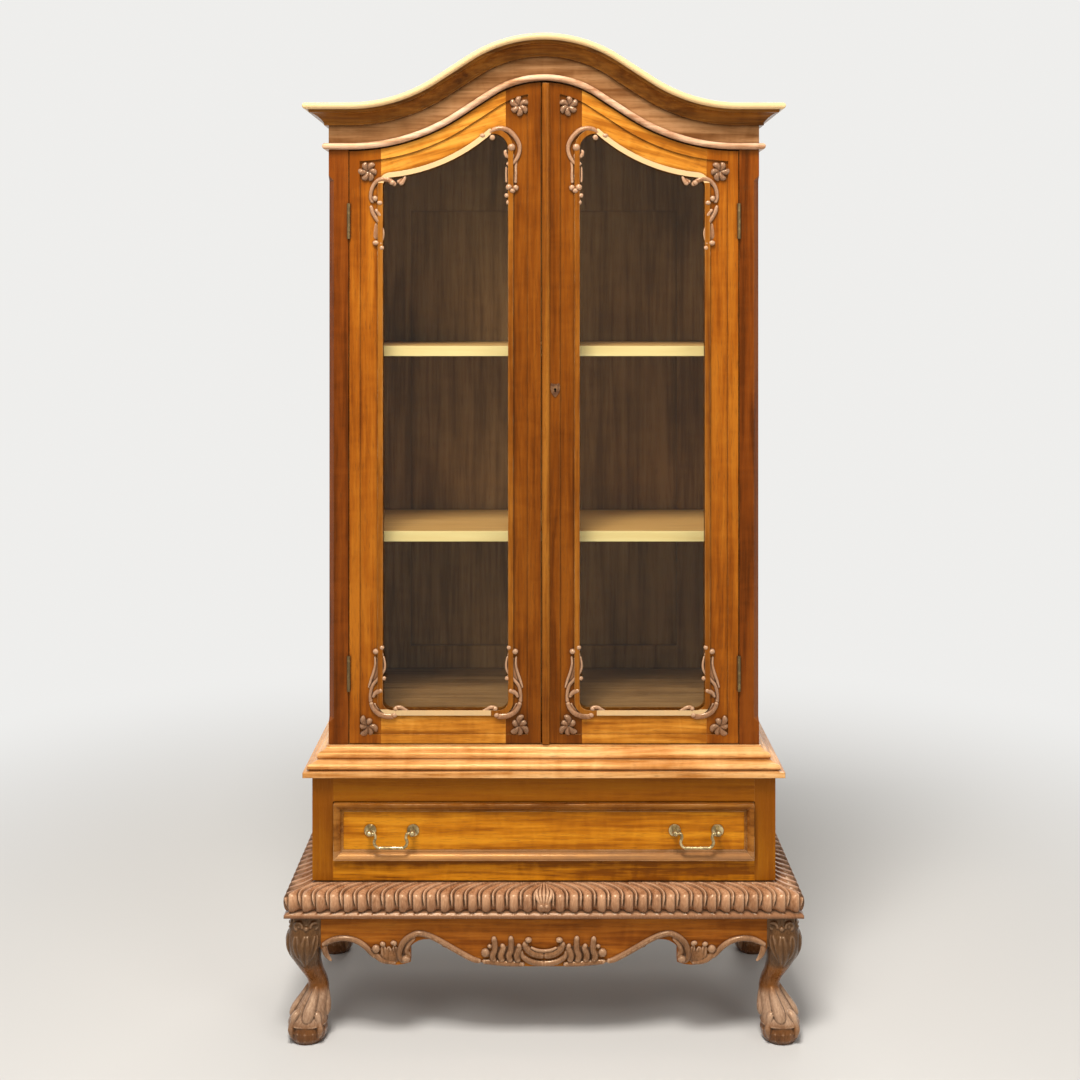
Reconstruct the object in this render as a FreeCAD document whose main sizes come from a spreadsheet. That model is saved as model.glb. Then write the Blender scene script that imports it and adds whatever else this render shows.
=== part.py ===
import FreeCAD, Part
import math
import os
import Sketcher

# A glazed display cabinet on a drawer stand with cabriole legs.
# Millimetres. X runs to the right, Y to the back, Z up. The origin lies on the floor under the middle.

Vector = FreeCAD.Vector
Rotation = FreeCAD.Rotation

LEFT = -1
RIGHT = 1
SIDE_NAMES = {LEFT: "left", RIGHT: "right"}

# Driving sizes, in millimetres; four of them are angles, in degrees
SIZES = (
    ("leg_height", 267, "floor to the underside of the gadrooned moulding"),
    ("leg_block_size", 58, "square block at the head of each leg"),
    ("leg_block_height", 72, "height of that block"),
    ("hip_height", 232, "height of the knee's upper end"),
    ("hip_offset", 22.5, "its axis behind the stand's outer face"),
    ("hip_radius", 34, "its radius"),
    ("knee_height", 194, "height of the knee's lower end"),
    ("knee_offset", 22.5, "its axis behind the stand's outer face"),
    ("knee_radius", 34, "its radius"),
    ("calf_height", 165, "height of the calf"),
    ("calf_offset", 27, "calf axis behind the stand's outer face"),
    ("calf_radius", 28, "radius of the calf"),
    ("shin_height", 139, "height of the shin"),
    ("shin_offset", 36, "shin axis behind the stand's outer face"),
    ("shin_radius", 23, "radius of the shin"),
    ("ankle_height", 110, "height of the ankle"),
    ("ankle_offset", 48, "ankle axis behind the stand's outer face"),
    ("ankle_radius", 21.5, "radius of the ankle"),
    ("instep_height", 88, "height of the instep"),
    ("instep_offset", 47, "instep axis behind the stand's outer face"),
    ("instep_radius", 24.5, "radius of the instep"),
    ("claw_height", 62, "height of the claw above the ball"),
    ("claw_offset", 35, "claw axis behind the stand's outer face"),
    ("claw_radius", 34, "radius of the claw"),
    ("ball_radius", 43, "radius of the ball in the claw"),
    ("ball_offset", 27, "ball axis behind the stand's outer face"),
    ("ball_flat", 18, "how much of the ball is cut flat on the floor"),
    ("talon_radius", 8, "radius of a talon"),
    ("talon_proud", 3, "talons beyond the ball"),
    ("talon_start", -22, "lower end of a talon round the ball's middle, in degrees"),
    ("talon_end", 62, "upper end of a talon round the ball's middle, in degrees"),
    ("stand_outset", 35, "stand beyond the drawer case at the front and sides"),
    ("apron_thickness", 22, "thickness of the apron boards"),
    ("apron_joint_height", 196, "lower edge of the aprons where they meet the legs"),
    ("apron_arch_height", 216, "top of the arches in the aprons"),
    ("apron_ear_width", 99, "arch beside each front leg"),
    ("apron_ear_foot", 190, "height of the foot of that arch"),
    ("apron_leaf_width", 88, "leaf between the two arches of the front apron"),
    ("apron_leaf_height", 171, "lowest point of that leaf above the floor"),
    ("apron_haunch_width", 67, "rounded head of the second arch"),
    ("apron_haunch_height", 202, "height of the end of that rounded head"),
    ("apron_pendant_half", 125, "half width of the pendant in the front apron"),
    ("apron_pendant_side", 60, "half width of the pendant in a side apron"),
    ("apron_pendant_edge", 168, "height of the pendant at its ends"),
    ("apron_pendant_height", 161, "lowest point of the pendant above the floor"),
    ("rear_apron_height", 200, "lower edge of the plain rear apron"),
    ("gadroon_height", 59, "height of the gadrooned moulding"),
    ("gadroon_outset", 54, "nose of the gadrooned moulding beyond the drawer case"),
    ("gadroon_bearing", 60, "width of the moulding under the drawer case"),
    ("gadroon_nose", 8, "rounding of its nose"),
    ("gadroon_slope", 11, "fall of its sloping top"),
    ("gadroon_fillet", 7, "height of the plain fillet under the lobes"),
    ("gadroon_setback", 3, "that fillet behind the nose"),
    ("gadroon_pitch", 28.5, "distance from lobe to lobe"),
    ("gadroon_flute", 3, "radius of the groove between two lobes"),
    ("base_width", 974, "outside width of the drawer case"),
    ("base_depth", 440, "depth of the drawer case"),
    ("base_height", 221, "height of the drawer case"),
    ("base_post_size", 44, "square corner posts of the drawer case"),
    ("base_side_thickness", 20, "sides of the drawer case"),
    ("base_back_thickness", 12, "back of the drawer case"),
    ("dust_board_thickness", 12, "board that closes the drawer case below"),
    ("rail_thickness", 22, "depth of the rails above and below the drawer"),
    ("upper_rail_height", 55, "rail above the drawer"),
    ("lower_rail_height", 44, "rail below the drawer"),
    ("runner_width", 47, "width of a drawer runner"),
    ("runner_thickness", 20, "thickness of a runner and of a kicker"),
    ("guide_height", 26, "height of a drawer guide"),
    ("drawer_gap", 2, "gap round the drawer front"),
    ("drawer_running_gap", 0.3, "gap under the drawer sides"),
    ("drawer_front_thickness", 20, "drawer front"),
    ("drawer_side_thickness", 12, "drawer sides and back"),
    ("drawer_side_height", 104, "height of the drawer sides"),
    ("drawer_bottom_thickness", 6, "drawer bottom"),
    ("drawer_bottom_rise", 10, "underside of the bottom above the runners"),
    ("drawer_depth", 406, "drawer from face to back"),
    ("drawer_frame_width", 19, "mitred moulding round the drawer front"),
    ("drawer_frame_proud", 13, "nose of that moulding before the drawer front"),
    ("handle_reach", 320, "handle from the middle of the drawer"),
    ("handle_span", 90, "distance between the two posts of a handle"),
    ("handle_height", 62, "posts above the drawer opening's lower edge"),
    ("handle_rose_radius", 12.5, "radius of a handle rose"),
    ("handle_rose_thickness", 3, "thickness of a handle rose"),
    ("handle_post_radius", 4, "radius of a handle post"),
    ("handle_projection", 21, "bail axis before the drawer front"),
    ("handle_ball_radius", 6.5, "ball at the head of a post"),
    ("handle_nut_radius", 7, "nut inside the drawer"),
    ("handle_nut_thickness", 4, "thickness of that nut"),
    ("bail_drop", 30, "grip below the posts"),
    ("bail_grip_half", 24, "half width of the straight grip"),
    ("bail_radius", 3.2, "radius of the bail"),
    ("bail_pin_radius", 2, "radius of the bail's pins"),
    ("pin_clearance", 0.05, "radial play of a pin in its hole"),
    ("waist_board_thickness", 20, "board on top of the drawer case"),
    ("waist_rise", 36, "waist moulding above the waist board"),
    ("waist_outset", 18, "nose of the waist moulding beyond the drawer case"),
    ("waist_nose", 11, "height of that nose"),
    ("case_setback", 30, "upper case behind the drawer case at the front and sides"),
    ("case_height", 1393, "upper case from the waist board to the cornice's flat ends"),
    ("front_thickness", 25, "posts and frieze board, front to back"),
    ("post_width", 42, "width of a front post"),
    ("post_chamfer", 11, "chamfer on the outer edge of a front post"),
    ("chamfer_low_stop", 82, "foot of the chamfer above the waist board"),
    ("chamfer_high_stop", 55, "head of the chamfer below the top of the post"),
    ("side_thickness", 20, "side panels of the upper case"),
    ("housing_depth", 6, "housings in the side panels"),
    ("floor_rise", 98, "inside floor above the waist board"),
    ("floor_thickness", 20, "floor board"),
    ("back_thickness", 18, "framed back"),
    ("back_stile_width", 119, "stiles of the framed back"),
    ("back_muntin_width", 100, "middle upright of the framed back"),
    ("back_rail_height", 55, "bottom rail of the back above the floor"),
    ("back_top_rail_drop", 200, "lower edge of the back's top rail below the cornice's flat ends"),
    ("back_panel_thickness", 6, "panels of the framed back"),
    ("groove_depth", 8, "grooves that hold panels and bottoms"),
    ("ceiling_thickness", 12, "arched ceiling board"),
    ("shelf_thickness", 22, "shelves"),
    ("lower_shelf_rise", 380, "top of the lower shelf above the floor"),
    ("upper_shelf_rise", 782, "top of the upper shelf above the floor"),
    ("shelf_setback", 41, "front edge of the shelves behind the doors"),
    ("shelf_play", 1, "play of a shelf at its ends and back"),
    ("bearer_size", 18, "square bearers under the shelves"),
    ("arch_half_span", 410, "start of the arch from the middle"),
    ("arch_hollow_radius", 330, "hollow part of the arch, at the cornice's top"),
    ("arch_crown_radius", 295, "crown of the arch, at the cornice's top"),
    ("arch_slope", 33, "steepest slope of the arch, in degrees"),
    ("cornice_height", 44, "height of the cornice"),
    ("cornice_outset", 49, "nose of the cornice beyond the upper case"),
    ("cornice_nose", 13, "height of that nose"),
    ("cornice_cap", 8, "cornice above the frieze board"),
    ("frieze_height", 86, "height of the frieze board"),
    ("bead_height", 13, "bead along the lower edge of the frieze"),
    ("bead_outset", 12.5, "bead before the frieze"),
    ("ceiling_lap", 4, "ceiling above the lower edge of the frieze board"),
    ("door_gap", 2, "gap round the doors"),
    ("door_head_gap", 1, "more room above the arched tops of the doors"),
    ("meeting_offset", 5.5, "middle of the doors' meeting gap, left of the cabinet's middle"),
    ("door_thickness", 24, "doors, at their raised border"),
    ("border_proud", 4, "raised border before the door's field"),
    ("hinge_border_width", 22, "raised border at the hinge side and under the arch"),
    ("meeting_border_inner", 34, "inner edge of the border at the meeting side, from the middle"),
    ("bottom_border_width", 19, "raised border at the bottom"),
    ("hinge_stile_inner", 346, "inner edge of a hinge stile from the middle"),
    ("meeting_stile_inner", 81, "inner edge of a meeting stile from the middle"),
    ("bead_outer", 353, "outer edge of the bead round the glass, from the middle"),
    ("bead_inner", 65, "inner edge of that bead from the middle"),
    ("bead_bottom_rise", 59.5, "lower edge of that bead above the door's bottom"),
    ("bead_corner", 30, "rounding of its corners"),
    ("bead_outer_drop", 45, "bead below the door's end height, past its outer top corner"),
    ("bead_middle", 210, "middle point of the bead's hollow top edge"),
    ("bead_middle_drop", 14, "bead below the door's end height at that point"),
    ("bead_shoulder", 116.5, "head of the hollow top edge from the middle"),
    ("bead_shoulder_rise", 47, "bead above the door's end height at that head"),
    ("bead_shoulder_height", 42.5, "start of the rounded shoulder below that head"),
    ("frame_margin", 4, "opening in the frame beyond the glass's visible edge"),
    ("rebate_margin", 10, "rebate for the glass beyond its visible edge"),
    ("rebate_depth", 12, "depth of that rebate"),
    ("glass_thickness", 4, "glass"),
    ("glass_play", 0.5, "play of the glass in its rebate"),
    ("sight_bead_width", 11, "bead round the glass, in front"),
    ("sight_bead_proud", 5.5, "that bead before the door's field"),
    ("scroll_rib", 5, "radius of the carved rib on the corners of that bead"),
    ("scroll_ball", 6.5, "radius of the curled ends of that rib"),
    ("scroll_overrun", 20, "run of the rib past a corner at each end, in degrees"),
    ("rosette_radius", 17, "radius of the carved leaf rosettes"),
    ("rosette_thickness", 4, "height of the rosettes"),
    ("rosette_outer", 373.5, "outer rosettes from the middle"),
    ("rosette_inner", 53, "inner rosettes from the middle"),
    ("rosette_low_rise", 37, "lower rosettes above the door's bottom"),
    ("rosette_outer_drop", 42, "outer top rosettes below the door's end height"),
    ("rosette_inner_rise", 96, "inner top rosettes above the door's end height"),
    ("hinge_height", 75, "butt hinges"),
    ("hinge_distance", 149, "middle of a hinge from the door's end"),
    ("hinge_leaf_width", 20, "width of a hinge leaf"),
    ("hinge_leaf_thickness", 2, "thickness of a hinge leaf"),
    ("knuckle_radius", 3.5, "radius of a hinge knuckle"),
    ("knuckle_gap", 0.3, "gap between a knuckle and the front of the door"),
    ("knuckle_play", 0.1, "end play between two knuckles"),
    ("hinge_pin_radius", 1.5, "radius of a hinge pin"),
    ("astragal_width", 17.5, "half-round on the meeting line"),
    ("astragal_proud", 8, "that half-round before the door"),
    ("lock_height", 750, "keyhole above the door's bottom"),
    ("keyhole_x", 24, "keyhole from the cabinet's middle"),
    ("keyhole_radius", 2.6, "round part of the keyhole"),
    ("keyhole_length", 9, "length of the keyhole"),
    ("escutcheon_width", 20, "keyhole shield"),
    ("escutcheon_height", 30, "height of that shield"),
    ("escutcheon_thickness", 1.5, "thickness of that shield"),
    ("lock_width", 48, "lock case"),
    ("lock_case_height", 60, "height of the lock case"),
    ("lock_thickness", 12, "depth of the lock case"),
    ("lock_wall", 4, "walls of the lock case"),
    ("lock_play", 0.3, "play of the bolt in the lock case"),
    ("bolt_height", 16, "height of the lock bolt"),
    ("bolt_length", 32, "length of the lock bolt"),
    ("door_bolt_x", 40, "bolts of the left door from the cabinet's middle"),
    ("door_bolt_radius", 3, "radius of those bolts"),
    ("door_bolt_length", 60, "length of those bolts"),
    ("door_bolt_travel", 10, "travel of those bolts"),
    ("door_bolt_gap", 2, "drawn bolt from what it enters"),
    ("keeper_play", 1, "room beside a bolt in its keeper mortise"),
    ("barrel_width", 14, "barrel that guides a bolt"),
    ("barrel_height", 18, "height of that barrel"),
    ("bolt_plate_thickness", 2, "plate behind that barrel"),
    ("bolt_plate_height", 50, "height of that plate"),
)

# Places worked out from the driving sizes
PLACES = (
    ("half_base", "=sizes.base_width / 2"),
    ("half_case", "=half_base - sizes.case_setback"),
    ("foot_overhang", "=sizes.ball_radius + sizes.talon_proud - sizes.ball_offset"),
    ("front_reach", "=max(sizes.gadroon_outset; sizes.stand_outset + foot_overhang)"),
    ("base_front_y", "=(front_reach - sizes.base_depth - foot_overhang) / 2"),
    ("back_y", "=base_front_y + sizes.base_depth"),
    ("stand_half", "=half_base + sizes.stand_outset"),
    ("stand_front_y", "=base_front_y - sizes.stand_outset"),
    ("block_inner_x", "=stand_half - sizes.leg_block_size"),
    ("block_low", "=sizes.leg_height - sizes.leg_block_height"),
    ("stand_top", "=sizes.leg_height + sizes.gadroon_height"),
    ("base_top", "=stand_top + sizes.base_height"),
    ("opening_low", "=stand_top + sizes.lower_rail_height"),
    ("opening_high", "=base_top - sizes.upper_rail_height"),
    ("post_inner", "=half_base - sizes.base_post_size"),
    ("side_inner", "=half_base - sizes.base_side_thickness"),
    ("rail_back_y", "=base_front_y + sizes.rail_thickness"),
    ("base_back_y", "=back_y - sizes.base_back_thickness"),
    ("drawer_half", "=post_inner - sizes.drawer_gap"),
    ("drawer_low", "=opening_low + sizes.drawer_gap"),
    ("drawer_high", "=opening_high - sizes.drawer_gap"),
    ("drawer_side_low", "=opening_low + sizes.drawer_running_gap"),
    ("drawer_side_y", "=base_front_y + sizes.drawer_front_thickness"),
    ("drawer_side_length", "=sizes.drawer_depth - sizes.drawer_front_thickness"),
    ("drawer_bottom_low", "=drawer_side_low + sizes.drawer_bottom_rise"),
    ("handle_z", "=opening_low + sizes.handle_height"),
    ("case_bottom", "=base_top + sizes.waist_board_thickness"),
    ("waist_top", "=case_bottom + sizes.waist_rise"),
    ("case_front_y", "=base_front_y + sizes.case_setback"),
    ("cornice_end_z", "=case_bottom + sizes.case_height"),
    ("case_post_inner", "=half_case - sizes.post_width"),
    ("case_side_inner", "=half_case - sizes.side_thickness"),
    ("carcase_y", "=case_front_y + sizes.front_thickness"),
    ("frieze_drop", "=sizes.cornice_cap + sizes.frieze_height"),
    ("post_top", "=cornice_end_z - frieze_drop"),
    ("door_drop", "=frieze_drop + sizes.door_gap + sizes.door_head_gap"),
    ("door_end_top", "=cornice_end_z - door_drop"),
    ("door_bottom", "=waist_top + sizes.door_gap"),
    ("door_hinge_x", "=case_post_inner - sizes.door_gap"),
    ("door_field_y", "=case_front_y + sizes.border_proud"),
    ("door_back_y", "=case_front_y + sizes.door_thickness"),
    ("pin_x", "=case_post_inner - sizes.door_gap / 2"),
    ("pin_y", "=case_front_y - sizes.knuckle_radius - sizes.knuckle_gap"),
    ("upper_hinge_z", "=door_end_top - sizes.hinge_distance"),
    ("lower_hinge_z", "=door_bottom + sizes.hinge_distance"),
    ("lock_z", "=door_bottom + sizes.lock_height"),
    ("floor_top", "=case_bottom + sizes.floor_rise"),
    ("floor_low", "=floor_top - sizes.floor_thickness"),
    ("back_face_y", "=back_y - sizes.back_thickness"),
    ("ceiling_drop", "=frieze_drop - sizes.ceiling_lap"),
    ("ceiling_low_drop", "=ceiling_drop + sizes.ceiling_thickness"),
    ("ceiling_end_low", "=cornice_end_z - ceiling_low_drop"),
    ("shelf_y", "=carcase_y + sizes.shelf_setback"),
    ("bearer_length", "=back_face_y - shelf_y"),
)

doc = FreeCAD.newDocument("DisplayCabinet")
sizes = doc.addObject("Spreadsheet::Sheet", "sizes")
places = doc.addObject("Spreadsheet::Sheet", "places")
for row, (alias, amount, meaning) in enumerate(SIZES, start=1):
    sizes.set(f"A{row}", meaning)
    sizes.set(f"B{row}", str(amount))
    sizes.setAlias(f"B{row}", alias)
for row, (alias, formula) in enumerate(PLACES, start=1):
    places.set(f"A{row}", alias.replace("_", " "))
    places.set(f"B{row}", formula)
    places.setAlias(f"B{row}", alias)
doc.recompute()

SIZE_NAMES = {alias for alias, amount, meaning in SIZES}
nodes = {}


def value(name):
    """A driving size or a worked-out place, as a number."""
    sheet = sizes if name in SIZE_NAMES else places
    return float(sheet.get(name))


def bind(thing, **formulas):
    """Tie properties of an object to the sheets."""
    for name, formula in formulas.items():
        thing.setExpression(name, formula)


def place_at(thing, x, y, z):
    """Tie an object's position to the sheets."""
    for axis, formula in zip("xyz", (x, y, z)):
        thing.setExpression(f"Placement.Base.{axis}", formula)


def board(label, low, extent):
    """A squared board from the formulas of its low corner and its three extents."""
    box = doc.addObject("Part::Box", label)
    box.Label = label
    bind(box, Length=extent[0], Width=extent[1], Height=extent[2])
    place_at(box, *low)
    return box


def board_pair(label, low, extent):
    """Two like boards, left and right; `low` is the right one's low corner."""
    right = board(f"right_{label}", low, extent)
    mirrored_x = f"-({low[0]}) - ({extent[0]})"
    left = board(f"left_{label}", (mirrored_x, low[1], low[2]), extent)
    return left, right


def rod(label, radius, height, position, direction=Vector(0, 0, 1)):
    """A round rod that starts at `position` and runs along `direction`."""
    cylinder = doc.addObject("Part::Cylinder", label)
    cylinder.Label = label
    bind(cylinder, Radius=radius, Height=height)
    cylinder.Placement = FreeCAD.Placement(Vector(), Rotation(Vector(0, 0, 1), direction))
    place_at(cylinder, *position)
    return cylinder


def group(label, members):
    """Several solids that share one node."""
    compound = doc.addObject("Part::Compound", label)
    compound.Label = label
    compound.Links = list(members)
    return compound


def cut(label, base, tools):
    """`base` with each of `tools` taken away."""
    for number, tool in enumerate(tools, start=1):
        last = number == len(tools)
        name = label if last else f"{label}_cut_{number}"
        step = doc.addObject("Part::Cut", name)
        step.Label = name
        step.Base = base
        step.Tool = tool
        base = step
    return base


def common(label, first, second):
    """What two shapes have in common."""
    shared = doc.addObject("Part::Common", label)
    shared.Label = label
    shared.Base = first
    shared.Tool = second
    return shared


def shaped(label, shape):
    """An object whose shape is drawn in code from the sheets."""
    feature = doc.addObject("Part::Feature", label)
    feature.Label = label
    feature.Shape = shape
    return feature


def keep(thing):
    """Hand a finished piece over as a node under its own label."""
    nodes[thing.Label] = thing
    return thing


# Part design bodies

def new_body(label):
    """An empty body."""
    body = doc.addObject("PartDesign::Body", label)
    body.Label = label
    return body


def sketch_on(body, role, name):
    """An empty sketch on one of the body's own origin planes."""
    plane = next(item for item in body.Origin.OriginFeatures if item.Role == role)
    sketch = body.newObject("Sketcher::SketchObject", name)
    sketch.AttachmentSupport = [(plane, "")]
    sketch.MapMode = "FlatFace"
    return sketch


def name_length(sketch, kind, first, second, name, formula):
    """A named distance between two sketch points, tied to the sheets."""
    sketch.addConstraint(Sketcher.Constraint(kind, *first, *second, 1.0))
    number = sketch.ConstraintCount - 1
    sketch.renameConstraint(number, name)
    sketch.setExpression(f".Constraints.{name}", formula)


def draw_rectangle(sketch, width, height, left=None, low=None):
    """A rectangle with its low corner at the origin or at (left, low)."""
    corners = [Vector(1, 1, 0), Vector(2, 1, 0), Vector(2, 2, 0), Vector(1, 2, 0)]
    first = sketch.GeometryCount
    for start, end in zip(corners, corners[1:] + corners[:1]):
        sketch.addGeometry(Part.LineSegment(start, end))
    for side in range(4):
        following = first + (side + 1) % 4
        sketch.addConstraint(Sketcher.Constraint("Coincident", first + side, 2, following, 1))
    for side in (0, 2):
        sketch.addConstraint(Sketcher.Constraint("Horizontal", first + side))
        sketch.addConstraint(Sketcher.Constraint("Vertical", first + side + 1))
    root = (-1, 1)
    corner = (first, 1)
    if left is None and low is None:
        sketch.addConstraint(Sketcher.Constraint("Coincident", *root, *corner))
    else:
        name_length(sketch, "DistanceX", root, corner, f"left_{first}", left)
        name_length(sketch, "DistanceY", root, corner, f"low_{first}", low)
    name_length(sketch, "DistanceX", corner, (first, 2), f"width_{first}", width)
    name_length(sketch, "DistanceY", (first + 1, 1), (first + 1, 2), f"height_{first}", height)


def pad(body, sketch, name, length):
    """Raise a sketch into solid."""
    feature = body.newObject("PartDesign::Pad", name)
    feature.Profile = sketch
    bind(feature, Length=length)
    doc.recompute()
    return feature


def pocket(body, sketch, name, length, reverse=False):
    """Sink a sketch into the body."""
    before = body.Shape.Volume
    feature = body.newObject("PartDesign::Pocket", name)
    feature.Profile = sketch
    feature.Reversed = reverse
    bind(feature, Length=length)
    doc.recompute()
    if body.Shape.Volume >= before:
        raise RuntimeError(f"{name} cuts nothing")
    return feature



# Outlines, mouldings and the arch

def outline_edges(steps, place):
    """Edges through `steps`: a pair is a straight run's end, two pairs are an arc's middle and end."""
    edges = []
    here = steps[0]
    for step in steps[1:]:
        if isinstance(step[0], tuple):
            through, end = step
            edges.append(Part.Arc(place(*here), place(*through), place(*end)).toShape())
        else:
            end = step
            edges.append(Part.LineSegment(place(*here), place(*end)).toShape())
        here = end
    return edges


def outline_face(steps, place):
    """A flat face inside an outline, which a straight run closes where it is still open."""
    closed = list(steps)
    if as_points(steps[-1])[-1] != steps[0]:
        closed.append(steps[0])
    return Part.Face(Part.Wire(outline_edges(closed, place)))


def on_front(x, z):
    """A point of an outline seen from the front."""
    return Vector(x, 0, z)


def arch_rise():
    """Height of the arch above the cornice's flat ends."""
    slope = math.radians(value("arch_slope"))
    radii = value("arch_hollow_radius") + value("arch_crown_radius")
    run = (value("arch_half_span") - radii * math.sin(slope)) / math.cos(slope)
    return radii * (1 - math.cos(slope)) + run * math.sin(slope)


def arch_steps(drop, reach):
    """The serpentine line `drop` inside the cornice's top, from -reach to reach."""
    span = value("arch_half_span")
    slope = math.radians(value("arch_slope"))
    hollow = value("arch_hollow_radius") + drop
    crown = value("arch_crown_radius") - drop
    end_z = value("cornice_end_z") - drop
    hollow_centre = end_z + hollow
    crown_centre = value("cornice_end_z") + arch_rise() - value("arch_crown_radius")

    def on_hollow(side, angle):
        return (side * (span - hollow * math.sin(angle)), hollow_centre - hollow * math.cos(angle))

    def on_crown(side, angle):
        return (side * crown * math.sin(angle), crown_centre + crown * math.cos(angle))

    return [
        (-reach, end_z),
        (-span, end_z),
        (on_hollow(LEFT, slope / 2), on_hollow(LEFT, slope)),
        on_crown(LEFT, slope),
        (on_crown(LEFT, 0), on_crown(RIGHT, slope)),
        on_hollow(RIGHT, slope),
        (on_hollow(RIGHT, slope / 2), (span, end_z)),
        (reach, end_z),
    ]


def crown_height(drop, x):
    """Height of the arch line near the middle, at `x`."""
    crown = value("arch_crown_radius") - drop
    centre = value("cornice_end_z") + arch_rise() - value("arch_crown_radius")
    return centre + math.sqrt(crown * crown - x * x)


def under_arch(drop, reach, low):
    """The face below an arch line, down to `low`."""
    steps = arch_steps(drop, reach) + [(reach, low), (-reach, low)]
    return outline_face(steps, on_front)


def arched_board(drop, span_x, low, front_y, thickness):
    """An upright board between two x values, cut to the arch at its top."""
    low_x, high_x = span_x
    face = under_arch(drop, value("half_base"), low)
    slab = face.extrude(Vector(0, thickness, 0))
    slab.translate(Vector(0, front_y, 0))
    room = Part.makeBox(high_x - low_x, thickness, slab.BoundBox.ZLength, Vector(low_x, front_y, low))
    return slab.common(room)


def arched_band(top_drop, low_drop, reach, front_y, thickness):
    """A board of even height that follows the arch."""
    low = value("case_bottom")
    outer = under_arch(top_drop, reach, low).extrude(Vector(0, thickness, 0))
    inner = under_arch(low_drop, reach, low).extrude(Vector(0, thickness, 0))
    band = outer.cut(inner)
    band.translate(Vector(0, front_y, 0))
    return band


def mitre_block(half, front_y, behind):
    """A block whose face is the mitre plane at the left front corner."""
    large = value("base_width")
    along = Vector(1, 1, 0).normalize() * large
    across = Vector(-1, 1, 0).normalize() * large
    start = Vector(-half, front_y, -large) - along
    if not behind:
        start = start - across
    block = Part.makeBox(2 * large, large, 4 * large)
    block.Placement = FreeCAD.Placement(start, Rotation(Vector(0, 0, 1), 45))
    return block


def mirrored(shape):
    """The same shape on the other side of the cabinet's middle."""
    return shape.mirror(Vector(0, 0, 0), Vector(1, 0, 0))


def front_run(steps, half, front_y):
    """The front length of a moulding; `steps` are outset and height, mitred at both ends."""
    reach = half + max(point[0] for step in steps for point in as_points(step))
    face = outline_face(steps, lambda outset, z: Vector(-reach, front_y - outset, z))
    run = face.extrude(Vector(2 * reach, 0, 0))
    block = mitre_block(half, front_y, behind=True)
    return run.cut(block).cut(mirrored(block))


def left_run(steps, half, front_y, back_y):
    """The left length of a moulding, mitred at its front end and square at the back."""
    reach = max(point[0] for step in steps for point in as_points(step))
    start_y = front_y - reach
    face = outline_face(steps, lambda outset, z: Vector(-half - outset, start_y, z))
    run = face.extrude(Vector(0, back_y - start_y, 0))
    return run.cut(mitre_block(half, front_y, behind=False))


def as_points(step):
    """The points of one outline step."""
    return step if isinstance(step[0], tuple) else (step,)


# Stand

def front_apron_steps():
    """Lower edge and outline of the front apron."""
    end = value("block_inner_x")
    ear = end - value("apron_ear_width")
    leaf = ear - value("apron_leaf_width")
    haunch = leaf - value("apron_haunch_width")
    arch = value("apron_arch_height")
    ear_foot = value("apron_ear_foot")
    haunch_z = value("apron_haunch_height")
    leaf_low = value("apron_leaf_height")
    right_half = [
        (end, value("apron_joint_height")),
        (((end + ear) / 2, arch), (ear, ear_foot)),
        ((ear * 0.7 + leaf * 0.3, leaf_low), (leaf, leaf_low)),
        (leaf, (arch + ear_foot) / 2),
        ((leaf * 0.7 + haunch * 0.3, arch), (haunch, haunch_z)),
        (value("apron_pendant_half"), value("apron_pendant_edge")),
    ]
    return apron_outline(right_half, value("apron_pendant_height"), end)


def side_apron_steps(half):
    """Lower edge and outline of a side apron that is 2 * half long."""
    pendant = value("apron_pendant_side")
    right_half = [
        (half, value("apron_joint_height")),
        (((half + pendant) / 2, value("apron_arch_height")), (pendant, value("apron_pendant_edge"))),
    ]
    return apron_outline(right_half, value("apron_pendant_height"), half)


def apron_outline(right_half, lowest, end):
    """A whole apron from its right half, its lowest point and its half length."""
    steps = list(right_half)
    inner = as_points(right_half[-1])[-1]
    steps.append(((0, lowest), (-inner[0], inner[1])))
    for position in range(len(right_half) - 1, 0, -1):
        target = as_points(right_half[position - 1])[-1]
        mirrored_target = (-target[0], target[1])
        step = right_half[position]
        if isinstance(step[0], tuple):
            steps.append(((-step[0][0], step[0][1]), mirrored_target))
        else:
            steps.append(mirrored_target)
    top = value("leg_height")
    return steps + [(-end, top), (end, top)]


def upright_arc(path, rib, first, last):
    """A round rib bent about the origin in the front plane, between two directions in degrees."""
    ring = Part.makeTorus(path, rib, Vector(), Vector(0, 0, 1), 0, 360, last - first)
    ring.rotate(Vector(), Vector(0, 0, 1), first)
    ring.rotate(Vector(), Vector(1, 0, 0), 90)
    return ring


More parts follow.
